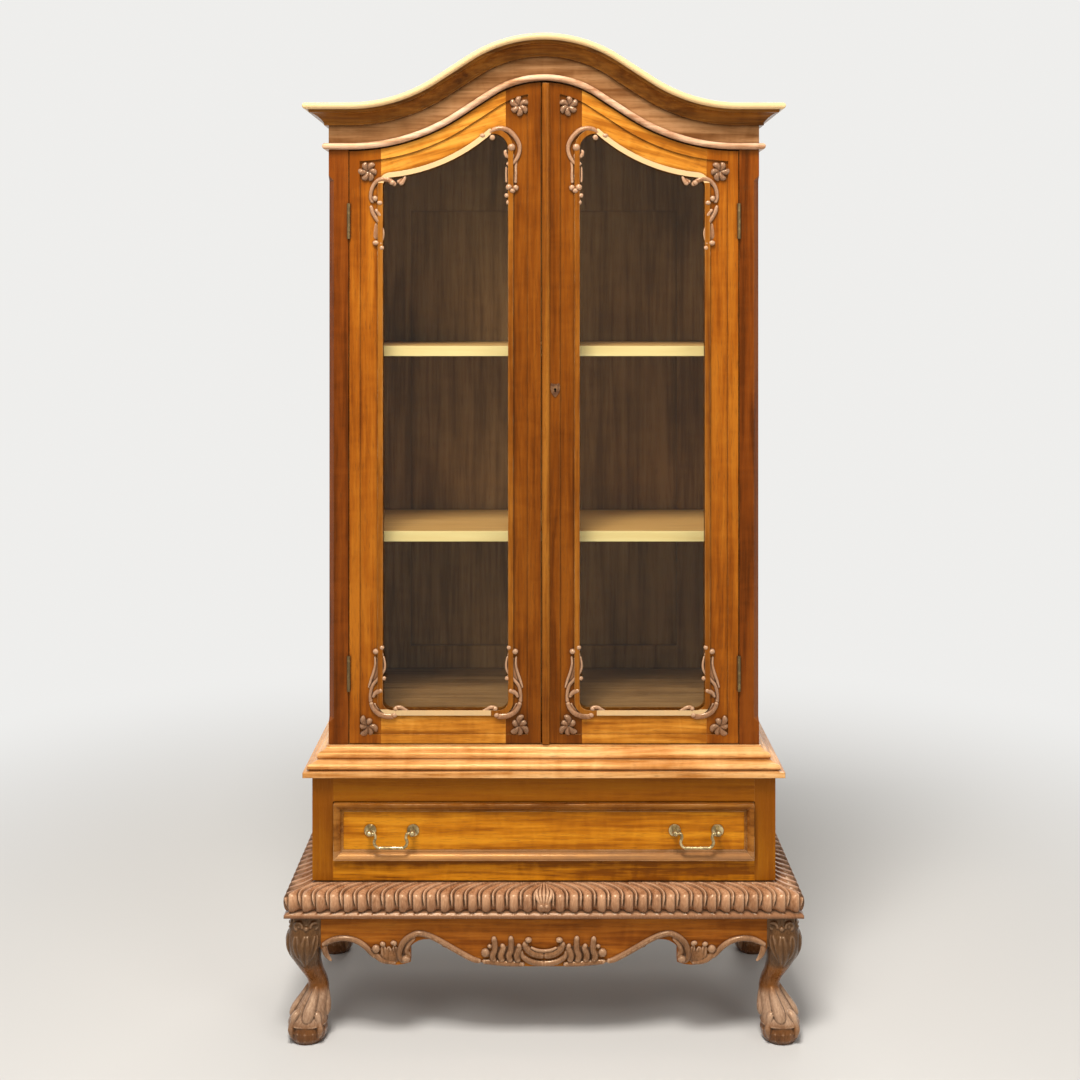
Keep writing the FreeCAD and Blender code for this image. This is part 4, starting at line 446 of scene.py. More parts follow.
# Dark: partly the wood's own colour, partly painted shade on the frame's downward and side slopes.
FRAME = WoodTone(
    "frame_mahogany", (0.340, 0.130, 0.022), (0.230, 0.075, 0.010), (0.120, 0.030, 0.003),
    worn_and_highlight=(0.80, 0.50, 0.26), wear_and_highlight=0.7, rub=2.5 * MM,
)
DRAWER = WoodTone(
    "drawer_mahogany", (0.640, 0.245, 0.012), (0.490, 0.160, 0.006), (0.300, 0.082, 0.003), figure=1.2,
)
APRON = WoodTone("apron_mahogany", (0.400, 0.128, 0.014), (0.300, 0.083, 0.008), (0.165, 0.037, 0.003))
CARVED = WoodTone("carved_mahogany", (0.540, 0.285, 0.150), (0.390, 0.185, 0.088), (0.180, 0.062, 0.020))
SCROLL = WoodTone("scroll_mahogany", (0.330, 0.150, 0.066), (0.235, 0.098, 0.040), (0.130, 0.046, 0.016))
APRON_CARVED = WoodTone("apron_carved", (0.290, 0.135, 0.055), (0.200, 0.085, 0.032), (0.105, 0.038, 0.012))
ROSETTE = WoodTone("rosette_mahogany", (0.195, 0.078, 0.030), (0.135, 0.050, 0.017), (0.075, 0.024, 0.007))
KNEE = WoodTone("knee_mahogany", (0.115, 0.047, 0.013), (0.074, 0.028, 0.007), (0.040, 0.014, 0.003))
ANKLE = WoodTone("ankle_mahogany", (0.240, 0.080, 0.009), (0.175, 0.053, 0.005), (0.100, 0.028, 0.002))
FOOT = WoodTone("foot_mahogany", (0.460, 0.290, 0.185), (0.320, 0.185, 0.110), (0.160, 0.076, 0.036))
BALL = WoodTone("ball_mahogany", (0.185, 0.066, 0.016), (0.135, 0.044, 0.009), (0.070, 0.021, 0.005))
INNER = WoodTone(
    "inner_wood", (0.300, 0.165, 0.068), (0.225, 0.117, 0.045), (0.135, 0.064, 0.023),
    roughness=0.5, coat=0.0, wear_and_highlight=0.1,
)
SHELF = WoodTone(
    "shelf_wood", (0.660, 0.400, 0.160), (0.560, 0.310, 0.100), (0.420, 0.200, 0.055), roughness=0.4,
)

POLISH_TINT = (1.0, 0.52, 0.14)
POLISH_SHINE = 0.38
WAX_TINT = (1.0, 0.72, 0.44)
WAX_SHINE = 0.5

# How far apart in the noise two boards are read, for each unit of their seeds
BOARD_STEPS = (1.7, 0.9, 1.3)


@dataclass(frozen=True)
class Layer:
    """One layer of a wood's figure: noise that is drawn out along the grain."""

    waves: float
    detail: float
    swirl: float
    drawn_out: Point = (1.0, 1.0, 1.0)
    share: float = 1.0

    def read(self, shader: Shader, run: bpy.types.NodeSocket, moved: Point = (0.0, 0.0, 0.0)) -> Signal:
        """The layer's noise.

        Args:
            shader: the material being made.
            run: coordinates along and across the grain.
            moved: how far the layer is moved.

        Returns:
            The noise, about 0 to 1.
        """
        place = shader.mapped(run, Location=moved, Scale=self.drawn_out)
        return shader.noise(place, self.waves, self.detail, self.swirl)


BANDS = Layer(13.0, 3.0, 1.0, (0.16, 1.0, 1.0), 1.5)
WIDE_STREAKS = Layer(46.0, 3.0, 0.7, (0.05, 1.0, 1.0), 1.9)
FINE_STREAKS = Layer(170.0, 4.0, 0.3, (0.05, 1.0, 1.0))
CURL = Layer(34.0, 2.0, 0.8, (1.0, 0.35, 0.35), 0.5)
PORES = Layer(950.0, 1.0, 0.0, (0.05, 1.0, 1.0), 0.42)
CARVED_PATCHES = Layer(24.0, 4.0, 0.6, (1.0, 1.0, 0.3), 1.5)
CARVED_GRAIN = Layer(280.0, 3.0, 0.0, (1.0, 1.0, 0.3), 0.8)
SHELF_STREAKS = Layer(90.0, 4.0, 0.6, (0.06, 1.0, 1.0))
WEAR_AND_HIGHLIGHT_PATCHES = Layer(26.0, 3.0, 0.0)


@dataclass(frozen=True)
class PaintedHighlight:
    """Where a piece gets a painted highlight: low or high, before or outside some planes, clear of the
    middle.
    """

    strength: float = 0.0
    below: float = FAR
    above: float = FAR
    before: float = FAR
    outside: float = FAR
    from_middle: float = -FAR
    soft: float = 1.5 * MM

    def share(self, shader: Shader) -> Signal:
        """How strongly a point gets the painted highlight.

        Args:
            shader: the material being made.

        Returns:
            Highlight, 0 to 1.
        """
        x, y, z = shader.axes(shader.place())
        low = z.ramp(self.below, self.below - self.soft)
        high = z.ramp(self.above, self.above + self.soft)
        front = y.ramp(self.before, self.before - self.soft)
        outer = abs(x).ramp(self.outside, self.outside + self.soft)
        clear = abs(x).ramp(self.from_middle, self.from_middle + self.soft)
        return (low + high).clamp() * (front + outer).clamp() * clear * self.strength


@dataclass(frozen=True)
class Timber:
    """Polished timber with streaks, pores and softened edges that are paler, partly as wear and partly as
    painted highlight.
    """

    tone: WoodTone
    grain: Grain
    seed: float = 0.0
    tilt: float = 0.0
    upright_beyond: float = 0.0
    upright_depth: float = 0.75
    returns_beyond: float = 0.0
    shade_upwards: tuple[float, float] = (0.0, 0.0)
    shade_upwards_depth: float = 0.80
    shade_at: tuple[Point, ...] = ()
    shade_depth: float = 0.60
    shade_core: float = 0.35
    rubbed: PaintedHighlight = PaintedHighlight()
    grime_and_shade: float = 0.55
    grime_and_shade_reach: float = 9 * MM
    pore_from: tuple[float, float] = (0.58, 0.72)
    pore_depth: float = 0.4 * MM
    edge: float = 1.4 * MM
    edge_from: tuple[float, float] = (0.02, 0.22)
    coat_roughness: float = 0.12

    def along(self, shader: Shader) -> bpy.types.NodeSocket:
        """Coordinates whose x runs with the grain.

        Args:
            shader: the material being made.

        Returns:
            The coordinates' socket.
        """
        place = shader.place()
        if self.tilt:
            place = shader.mapped(place, Rotation=(0.0, self.tilt, 0.0))
        x, y, z = shader.axes(place)
        turned = {Grain.ALONG_X: (x, y, z), Grain.ALONG_Y: (y, x, z), Grain.ALONG_Z: (z, y, x)}
        chosen = shader.vector(*turned[self.grain])
        if self.upright_beyond:
            upright = shader.vector(*turned[Grain.ALONG_Z])
            chosen = shader.blend(abs(x).beyond(self.upright_beyond), chosen, upright)
        if self.returns_beyond:
            returns = shader.vector(*turned[Grain.ALONG_Y])
            chosen = shader.blend((abs(x) + y).beyond(self.returns_beyond), chosen, returns)
        return chosen

    def build(self) -> bpy.types.Material:
        """Make the material.

        Returns:
            The material.
        """
        tone = self.tone
        shader = Shader.named(f"{tone.name}_{self.grain.value}_{self.seed:g}")
        run = shader.mapped(self.along(shader), Location=tuple(self.seed * step for step in BOARD_STEPS))
        streaks = FINE_STREAKS.read(shader, run)
        pores = PORES.read(shader, run).ramp(*self.pore_from)
        figure = (streaks - 0.5) * FINE_STREAKS.share
        for layer in (BANDS, WIDE_STREAKS, CURL):
            figure = figure + (layer.read(shader, run) - 0.5) * layer.share
        colour = shader.ramped((figure * tone.figure + 0.5).clamp(), *tone.stops(0.42))
        colour = shader.blend(pores * PORES.share, colour, tone.pore)
        colour = self.shade(shader, colour)
        # Edges paler, partly as wear and partly as painted highlight.
        colour = shader.blend(self.edge_wear_and_highlight(shader) * tone.wear_and_highlight, colour, tone.worn_and_highlight)
        # Painted shade and dust darken the corners and grooves.
        colour = shader.blend(shader.crevice(self.grime_and_shade_reach) * self.grime_and_shade, colour, tone.pore)
        height = (1.0 - pores) * 0.8 + streaks * 0.2
        return shader.finish({
            "Base Color": colour,
            "Roughness": pores * 0.16 + (streaks * 0.10 + (tone.roughness - 0.05)),
            "Specular IOR Level": POLISH_SHINE,
            "Specular Tint": POLISH_TINT,
            "Coat Weight": tone.coat,
            "Coat Roughness": self.coat_roughness,
            "Normal": shader.bump(height, self.pore_depth, 0.30, self.edge),
        })

    def shade(self, shader: Shader, colour: bpy.types.NodeSocket) -> bpy.types.NodeSocket:
        """Darken round given points and on uprights, paint shade upwards, and paint a highlight where the
        piece is exposed.

        Args:
            shader: the material being made.
            colour: its colour so far.

        Returns:
            The changed colour.
        """
        x, _, z = shader.axes(shader.place())
        for centre_x, centre_z, reach in self.shade_at:
            distance = ((abs(x) - centre_x) ** 2.0 + (z - centre_z) ** 2.0) ** 0.5
            near = distance.ramp(reach, reach * self.shade_core) * self.shade_depth
            colour = shader.blend(near, colour, self.tone.dark)
        # Painted shade, darker upwards.
        if self.shade_upwards[1]:
            colour = shader.blend(z.ramp(*self.shade_upwards) * self.shade_upwards_depth, colour, self.tone.dark)
        if self.upright_beyond:
            on_upright = abs(x).beyond(self.upright_beyond) * self.upright_depth
            colour = shader.blend(on_upright, colour, self.tone.dark)
        # Painted highlight where the piece stands exposed.
        if self.rubbed.strength:
            colour = shader.blend(self.rubbed.share(shader), colour, self.tone.worn_and_highlight)
        return colour

    def edge_wear_and_highlight(self, shader: Shader) -> Signal:
        """How much an edge is paler, partly as wear and partly as painted highlight: the gap between its
        softened and its true normal.

        Args:
            shader: the material being made.

        Returns:
            Wear and painted highlight, 0 to 1.
        """
        soft = shader.node("ShaderNodeBevel", {"samples": 4}, {"Radius": self.tone.rub}).outputs[0]
        true = shader.node("ShaderNodeNewGeometry").outputs["Normal"]
        inputs = {0: soft, 1: true}
        agree = shader.signal("ShaderNodeVectorMath", {"operation": "DOT_PRODUCT"}, inputs, "Value")
        patchy = WEAR_AND_HIGHLIGHT_PATCHES.read(shader, shader.place()).ramp(0.35, 0.65)
        return (1.0 - agree).ramp(*self.edge_from) * patchy


@dataclass(frozen=True)
class CarvedTimber:
    """Carved wood: painted shade in its hollows, and ridges painted pale, partly as wear and partly as
    painted highlight.
    """

    tone: WoodTone
    seed: float = 0.0
    hollow_shade: Colour = (0.018, 0.006, 0.003)
    hollow_shade_from: tuple[float, float] = (0.49, 0.16)
    hollow_shade_depth: float = 0.85
    # Pale ridge colour: partly wear, partly painted highlight.
    ridge: Colour = (0.66, 0.42, 0.26)
    ridge_from: tuple[float, float] = (0.54, 0.82)
    ridge_wear_and_highlight: float = 0.5
    grime_and_shade: float = 0.6
    grime_and_shade_reach: float = 8 * MM
    shadowed: tuple[float, float] = (0.0, 0.0)
    shadow_depth: float = 0.7
    coat: float = 0.14
    coat_roughness: float = 0.14
    grain_depth: float = 0.4 * MM
    edge: float = 0.6 * MM

    def coloured(self, shader: Shader, figure: Signal) -> bpy.types.NodeSocket:
        """The timber's own colour."""
        return shader.ramped(figure, *self.tone.stops(0.4))

    def contrast(self, shader: Shader) -> Signal | float:
        """How strongly the painted shade of the hollows and the pale ridges differ from the timber's own
        colour.
        """
        return 1.0

    def build(self) -> bpy.types.Material:
        """Make the material.

        Returns:
            The material.
        """
        shader = Shader.named(f"{self.tone.name}_carved_{self.seed:g}")
        place = shader.place()
        moved = (self.seed,) * 3
        patches = CARVED_PATCHES.read(shader, place, moved)
        fine = CARVED_GRAIN.read(shader, place, moved)
        figure = (patches - 0.5) * CARVED_PATCHES.share + (fine - 0.5) * CARVED_GRAIN.share + 0.5
        colour = self.coloured(shader, figure.clamp())
        contrast = self.contrast(shader)
        relief = shader.signal("ShaderNodeAttribute", {"attribute_name": "relief"}, output="Fac")
        # Painted shade in the hollows; ridges painted pale, partly as wear and partly as painted highlight.
        shaded_hollow = relief.ramp(*self.hollow_shade_from) * self.hollow_shade_depth * contrast
        on_ridge = relief.ramp(*self.ridge_from) * self.ridge_wear_and_highlight * contrast
        colour = shader.blend(on_ridge, shader.blend(shaded_hollow, colour, self.hollow_shade), self.ridge)
        if self.shadowed[0]:
            height = shader.axes(place)[2]
            colour = shader.blend(height.ramp(*self.shadowed) * self.shadow_depth, colour, self.tone.dark)
        # Painted shade and dust darken the corners and grooves.
        colour = shader.blend(shader.crevice(self.grime_and_shade_reach) * self.grime_and_shade, colour, self.hollow_shade)
        return shader.finish({
            "Base Color": colour,
            "Roughness": relief.ramp(0.6, 0.1) * 0.3 + (fine * 0.12 + 0.20),
            "Specular IOR Level": WAX_SHINE,
            "Specular Tint": WAX_TINT,
            "Coat Weight": self.coat,
            "Coat Roughness": self.coat_roughness,
            "Normal": shader.bump(fine, self.grain_depth, 0.35, self.edge),
        })


@dataclass(frozen=True)
class LegTimber(CarvedTimber):
    """Carved wood of a leg: a dark knee, a smooth ankle, a pale foot and a red-brown ball."""

    knee_low: float = 165 * MM
    ankle_low: float = 108 * MM
    foot_low: float = 52 * MM
    fade: float = 18 * MM
    knee_contrast: float = 0.30

    def below(self, shader: Shader, height: float) -> Signal:
        """1 below a height and 0 above it, with a soft change."""
        return shader.axes(shader.place())[2].ramp(height, height - self.fade)

    def coloured(self, shader: Shader, figure: Signal) -> bpy.types.NodeSocket:
        """The timber's own colour, banded up the leg.

        Args:
            shader: the material being made.
            figure: its figure, 0 to 1.

        Returns:
            The colour.
        """
        colour = super().coloured(shader, figure)
        for low, tone in ((self.knee_low, ANKLE), (self.ankle_low, FOOT), (self.foot_low, BALL)):
            colour = shader.blend(self.below(shader, low), colour, shader.ramped(figure, *tone.stops(0.4)))
        return colour

    def contrast(self, shader: Shader) -> Signal | float:
        """Low on the knee, none on the ankle and full on the foot."""
        off_ankle = (1.0 - self.below(shader, self.knee_low)) * self.knee_contrast
        return off_ankle + self.below(shader, self.ankle_low)


@dataclass(frozen=True)
class ShelfTimber:
    """Orange shelf board with a highlight painted pale along its front edge."""

    front_y: float
    lit_edge_band: float = 6 * MM
    lit_edge_soft: float = 0.5 * MM
    # Colours of the painted highlight along the front edge.
    pale: tuple[Colour, Colour] = ((0.70, 0.50, 0.19), (0.86, 0.70, 0.34))
    grain_depth: float = 0.3 * MM
    edge: float = 1 * MM

    def build(self) -> bpy.types.Material:
        """Make the material.

        Returns:
            The material.
        """
        shader = Shader.named(SHELF.name)
        place = shader.place()
        behind = shader.axes(place)[1] - self.front_y
        streaks = SHELF_STREAKS.read(shader, place)
        colour = shader.ramped(streaks, *SHELF.stops(0.3))
        # Painted highlight along the front edge.
        in_front = behind.ramp(self.lit_edge_band + self.lit_edge_soft, self.lit_edge_band - self.lit_edge_soft)
        colour = shader.blend(in_front, colour, shader.blend(streaks, *self.pale))
        return shader.finish({
            "Base Color": colour,
            "Roughness": streaks * 0.15 + (SHELF.roughness - 0.05),
            "Normal": shader.bump(streaks, self.grain_depth, 0.3, self.edge),
        })


@dataclass(frozen=True)
class AgedMetal:
    """Metal that is dark where it tarnished and bright where it is rubbed."""

    name: str
    bright: Colour
    dull: Colour
    tarnished: float
    cloud_waves: float = 90.0
    speck_waves: float = 900.0
    soft: float = 0.12
    pitting: float = 0.2 * MM
    edge: float = 0.6 * MM

    def build(self) -> bpy.types.Material:
        """Make the material.

        Returns:
            The material.
        """
        shader = Shader.named(self.name)
        place = shader.place()
        clouds = shader.noise(place, self.cloud_waves, 4.0, 0.5)
        specks = shader.noise(place, self.speck_waves, 2.0)
        middle = 1.0 - self.tarnished
        tarnish = (clouds * 0.75 + specks * 0.25).ramp(middle - self.soft, middle + self.soft)
        return shader.finish({
            "Base Color": shader.blend(tarnish, self.bright, self.dull),
            "Metallic": 1.0 - tarnish * 0.25,
            "Roughness": tarnish * 0.25 + 0.22,
            "Normal": shader.bump(specks, self.pitting, 0.25, self.edge),
        })


HANDLE_BRASS = AgedMetal("aged_brass", (0.66, 0.52, 0.27), (0.20, 0.145, 0.065), 0.5)
HINGE_BRASS = AgedMetal("hinge_brass", (0.33, 0.225, 0.095), (0.13, 0.085, 0.035), 0.6)
COPPER = AgedMetal("aged_copper", (0.40, 0.20, 0.09), (0.11, 0.045, 0.020), 0.55)


@dataclass(frozen=True)
class WindowGlass:
    """Old clear glass: it mirrors more at a slant and lets most light through."""

    tint: Colour = (0.965, 0.972, 0.945)
    mirrored: Colour = (0.88, 0.90, 0.84)
    head_on: float = 0.012
    sharpness: float = 5.0
    roughness: float = 0.015
    ripples: float = 4.0
    ripple_depth: float = 2 * MM

    def build(self) -> bpy.types.Material:
        """Make the material.

        Returns:
            The material.
        """
        shader = Shader.named("window_glass")
        ripple = shader.noise(shader.place(), self.ripples, 2.0)
        inputs = {"Height": ripple, "Distance": self.ripple_depth, "Strength": 0.15}
        bent = shader.node("ShaderNodeBump", inputs=inputs).outputs[0]
        clear = shader.node("ShaderNodeBsdfTransparent", inputs={"Color": self.tint}).outputs[0]
        inputs = {"Color": self.mirrored, "Roughness": self.roughness, "Normal": bent}
        mirror = shader.node("ShaderNodeBsdfGlossy", inputs=inputs).outputs[0]
        slant = shader.signal("ShaderNodeLayerWeight", inputs={"Blend": 0.5}, output="Facing")
        share = (slant ** self.sharpness * (1.0 - self.head_on) + self.head_on).clamp()
        mixed = shader.node("ShaderNodeMixShader", inputs={0: share, 1: clear, 2: mirror})
        return shader.output(mixed.outputs[0])


# Meshes

Placing = Callable[[np.ndarray], np.ndarray]
FORWARD = np.array([0.0, -1.0, 0.0])
UPWARD = np.array([0.0, 0.0, 1.0])


def unit(vectors: np.ndarray) -> np.ndarray:
    """Vectors the same way, of length 1."""
    return vectors / (np.linalg.norm(vectors, axis=1)[:, None] + 1e-12)


def square_to(line: np.ndarray) -> np.ndarray:
    """Unit vectors square to a flat line, to its left."""
    ahead = unit(np.gradient(line, axis=0))
    return np.stack([-ahead[:, 1], ahead[:, 0]], axis=1)


def heading(angle: float) -> np.ndarray:
    """A level unit vector, turned from the x axis by an angle."""
    return np.array([math.cos(angle), math.sin(angle), 0.0])


def run_along(path: np.ndarray) -> np.ndarray:
    """Distance from the start of a line to each of its points."""
    return np.concatenate([[0], np.cumsum(np.linalg.norm(np.diff(path, axis=0), axis=1))])


def points_at(places: np.ndarray, run: np.ndarray, path: np.ndarray) -> np.ndarray:
    """Points of a line at some distances along it.

    Args:
        places: the distances.
        run: distance to each of the line's own points.
        path: those points.

    Returns:
        The points.
    """
    return np.stack([np.interp(places, run, axis) for axis in path.T], axis=1)


def smooth_path(knots: Sequence[Knot], steps: int = 8) -> np.ndarray:
    """A smooth line through a few points.

    Args:
        knots: the points.
        steps: points for each stretch between two knots.

    Returns:
        The line's points.
    """
    fixed = np.array(knots, float)
    padded = np.vstack([2 * fixed[0] - fixed[1], fixed, 2 * fixed[-1] - fixed[-2]])
    share = np.linspace(0, 1, steps, endpoint=False)[:, None]
    runs = []
    for before, start, end, after in zip(padded, padded[1:], padded[2:], padded[3:]):
        straight = 2 * start + (end - before) * share
        curved = (2 * before - 5 * start + 4 * end - after) * share**2
        eased = (3 * start - before - 3 * end + after) * share**3
        runs.append((straight + curved + eased) / 2)
    return np.vstack([*runs, fixed[-1:]])


def spread(amounts: Sequence[float], count: int) -> np.ndarray:
    """A few amounts spread smoothly over more points.

    Args:
        amounts: the amounts.
        count: how many are wanted.

    Returns:
        The amounts at evenly spaced places.
    """
    if len(amounts) == 1:
        return np.full(count, amounts[0])
    flat = smooth_path([(amount,) for amount in amounts], 12)[:, 0]
    return np.interp(np.linspace(0, 1, count), np.linspace(0, 1, len(flat)), flat)


class Sculpt:
    """Closed forms that are gathered and melted into one carved piece."""

    def __init__(self) -> None:
        """Start with nothing."""
        self.points: list[np.ndarray] = []
        self.faces: list[tuple[int, ...]] = []
        self.total = 0

    def loft(self, rings: np.ndarray) -> None:
        """Close a stack of rings into one form.

        Args:
            rings: points, as ring by point by axis.
        """
        count, sides, _ = rings.shape
        start = self.total
        self.points.append(rings.reshape(-1, 3))
        self.total += count * sides
        for row in range(count - 1):
            low = start + row * sides
            for side in range(sides):
                after = (side + 1) % sides
                self.faces.append((low + side, low + after, low + sides + after, low + sides + side))
        self.faces.append(tuple(start + side for side in reversed(range(sides))))
        self.faces.append(tuple(start + (count - 1) * sides + side for side in range(sides)))

    def rib(
        self,
        path: np.ndarray,
        radii: Sequence[float],
        out: np.ndarray = FORWARD,
        flat: float = 1.0,
        sides: int = 12,
    ) -> None:
        """A rounded rib along a line, rounded at its ends too.

        Args:
            path: the line's points.
            radii: radius along the line, spread evenly.
            out: the way its back is turned.
            flat: its thickness that way as a share of its width.
            sides: corners of its section.
        """
        radius = spread(radii, len(path))
        run = run_along(path)
        even = np.linspace(0, run[-1], max(8, int(run[-1] / radius.mean() * 3)))
        path = points_at(even, run, path)
        radius = np.interp(even, run, radius)
        from_end = np.clip(1 - np.minimum(even, run[-1] - even) / radius, 0, 0.98)
        radius = (radius * np.sqrt(1 - from_end**2))[:, None, None]
        ahead = unit(np.gradient(path, axis=0))
        side = unit(np.cross(ahead, out[None, :]))
        back = np.cross(side, ahead)
        turn = np.linspace(0, FULL_TURN, sides, endpoint=False)[None, :, None]
        section = side[:, None] * np.cos(turn) + back[:, None] * np.sin(turn) * flat
        self.loft(path[:, None] + section * radius)

    def ball(self, centre: Point, radius: float, stretch: Point = (1.0, 1.0, 1.0)) -> None:
        """A ball.

        Args:
            centre: its middle.
            radius: its radius.
            stretch: its three axes as shares of that radius.
        """
        turn = np.linspace(0, FULL_TURN, 16, endpoint=False)
        rise = np.linspace(-math.pi / 2 + 0.12, math.pi / 2 - 0.12, 9)[:, None]
        rings = np.stack([
            np.cos(turn) * np.cos(rise), np.sin(turn) * np.cos(rise), np.sin(rise) + turn * 0,
        ], axis=2)
        self.loft(rings * radius * np.array(stretch) + np.array(centre))

    def box(self, low: Point, high: Point) -> None:
        """A plain block.

        Args:
            low: its lowest corner.
            high: its highest corner.
        """
        corners = ((low[0], low[1]), (high[0], low[1]), (high[0], high[1]), (low[0], high[1]))
        self.loft(np.array([[(x, y, z) for x, y in corners] for z in (low[2], high[2])]))

    def take(self, other: "Sculpt", placing: Placing) -> None:
        """Add the forms of another sculpt.

        Args:
            other: the other sculpt.
            placing: where its points go.
        """
        self.faces.extend(tuple(self.total + number for number in face) for face in other.faces)
        self.points.extend(placing(points) for points in other.points)
        self.total += other.total

    def melt(self, name: str, facet: float, placing: Placing | None = None) -> bpy.types.Object:
        """Join the forms into one smooth carved piece.

        Args:
            name: the piece's name.
            facet: size of its finest facets.
            placing: where its points go in the row frame.

        Returns:
            The piece.
        """
        points = np.vstack(self.points)
        if placing:
            points = placing(points)
        mesh = bpy.data.meshes.new(name + "_rough")
        mesh.from_pydata(points.tolist(), [], self.faces)
        rough = bpy.data.objects.new(mesh.name, mesh)
        bpy.context.scene.collection.objects.link(rough)
        remesh = rough.modifiers.new("melt", "REMESH")
        remesh.mode = "VOXEL"
        remesh.voxel_size = facet
        smooth = rough.modifiers.new("soften", "SMOOTH")
        smooth.factor = 0.5
        smooth.iterations = 1
        shaped = rough.evaluated_get(bpy.context.evaluated_depsgraph_get())
        carved = bpy.data.meshes.new_from_object(shaped)
        bpy.data.objects.remove(rough)
        carved.name = name
        return piece_of(name, carved)


class Relief(Sculpt):
    """Carving on an upright face: knots are across, up and, where given, proud, in millimetres."""

    def line(
        self,
        knots: Sequence[Knot],
        radii: Sequence[float],
        proud: float = 1.0,
        flat: float = 0.9,
    ) -> None:
        """A carved rib.

        Args:
            knots: its points.
            radii: its radii in millimetres.
            proud: how far its middle stands before the face, where a knot doesn't say.
            flat: its thickness as a share of its width.
        """
        self.rib(self.laid(knots, proud), np.array(radii) * MM, flat=flat)

    def leaf(self, knots: Sequence[Knot], width: float, proud: float = 0.5, curl: float = 2.0) -> None:
        """A leaf of two lobes with a vein between them, whose tip curls forward.

        Args:
            knots: points along its vein, from its foot to its tip.
            width: its width in millimetres.
            proud: how far its foot stands before the face.
            curl: how much further its tip stands.
        """
        vein = self.laid(knots, proud)
        count = len(vein)
        vein[:, 1] -= np.linspace(0, 1, count) ** 2 * curl * MM
        shape = spread((0.40, 0.90, 1.0, 0.80, 0.34), count) * width * MM
        aside = np.cross(unit(np.gradient(vein, axis=0)), FORWARD[None, :])
        for hand in (LEFT, RIGHT):
            self.rib(vein + aside * (hand * shape * 0.25)[:, None], shape * 0.29, flat=0.85)

    def bud(self, across: float, up: float, radius: float, proud: float = 2.5, squat: float = 1.0) -> None:
        """A rounded end or berry.

        Args:
            across: place across the face.
            up: height.
            radius: its radius.
            proud: how far its middle stands before the face.
            squat: its height as a share of its width.
        """
        self.ball((across * MM, -proud * MM, up * MM), radius * MM, (1.0, 0.85, squat))

    @staticmethod
    def laid(knots: Sequence[Knot], proud: float) -> np.ndarray:
        """A smooth line laid on the face.

        Args:
            knots: its points.
            proud: how far it stands before the face, where a knot doesn't say.

        Returns:
            Its points in metres.
        """
        full = [(knot[0], -(knot[2] if len(knot) > 2 else proud), knot[1]) for knot in knots]
        return smooth_path(full) * MM


def piece_of(name: str, mesh: bpy.types.Mesh) -> bpy.types.Object:
    """Put a mesh in the scene, smooth, with its relief noted on it.

    Args:
        name: the piece's name.
        mesh: its mesh.

    Returns:
        The piece.
    """
    mesh.shade_smooth()
    note_relief(mesh)
    made = bpy.data.objects.new(name, mesh)
    bpy.context.scene.collection.objects.link(made)
    return made


def note_relief(mesh: bpy.types.Mesh, reach: float = 3.5 * MM) -> None:
    """Store how hollow or ridged the surface is at each point: 0 hollow, 0.5 flat, 1 a ridge.

    Args:
        mesh: the mesh.
        reach: the size of the bends that count.
    """
    count = len(mesh.vertices)

    def noted_at_points(name: str) -> np.ndarray:
        """A vector of every point."""
        numbers = np.empty(count * 3, np.float32)
        mesh.vertices.foreach_get(name, numbers)
        return numbers.reshape(-1, 3).astype(float)

    places, normals = noted_at_points("co"), noted_at_points("normal")
    edges = np.empty(len(mesh.edges) * 2, np.int32)
    mesh.edges.foreach_get("vertices", edges)
    first, second = edges.reshape(-1, 2).T
    links = np.maximum(np.bincount(np.concatenate([first, second]), minlength=count), 1).astype(float)

    def mean(at_first: np.ndarray, at_second: np.ndarray) -> np.ndarray:
        """Mean over each point's edges of what it meets at their far ends."""
        return (np.bincount(first, at_second, count) + np.bincount(second, at_first, count)) / links

    around = np.stack([mean(axis[first], axis[second]) for axis in places.T], axis=1)
    length = np.linalg.norm(places[first] - places[second], axis=1)
    spacing = mean(length, length)
    bend = ((around - places) * normals).sum(1) / np.maximum(spacing, 1e-9) ** 2 * reach
    for _ in range(3):
        bend = 0.5 * bend + 0.5 * mean(bend[first], bend[second])
    noted = mesh.attributes.new("relief", "FLOAT", "POINT")
    noted.data.foreach_set("value", np.clip(0.5 - bend, 0, 1).astype(np.float32))


def facing_front(face_y: float, hand: int) -> Placing:
    """How points of an upright face go to the front.

    Args:
        face_y: where that face lies.
        hand: which half they are for.

    Returns:
        The placing.
    """
    return lambda points: points * (hand, 1, 1) + (0, face_y, 0)


def facing_side(face_x: float, side: int) -> Placing:
    """How points of an upright face go to one side.

    Args:
        face_x: distance of the side's face from the middle.
        side: which side.

    Returns:
        The placing.
    """
    return lambda points: np.stack([side * (face_x - points[:, 1]), points[:, 0], points[:, 2]], axis=1)


# What the sub-assemblies share

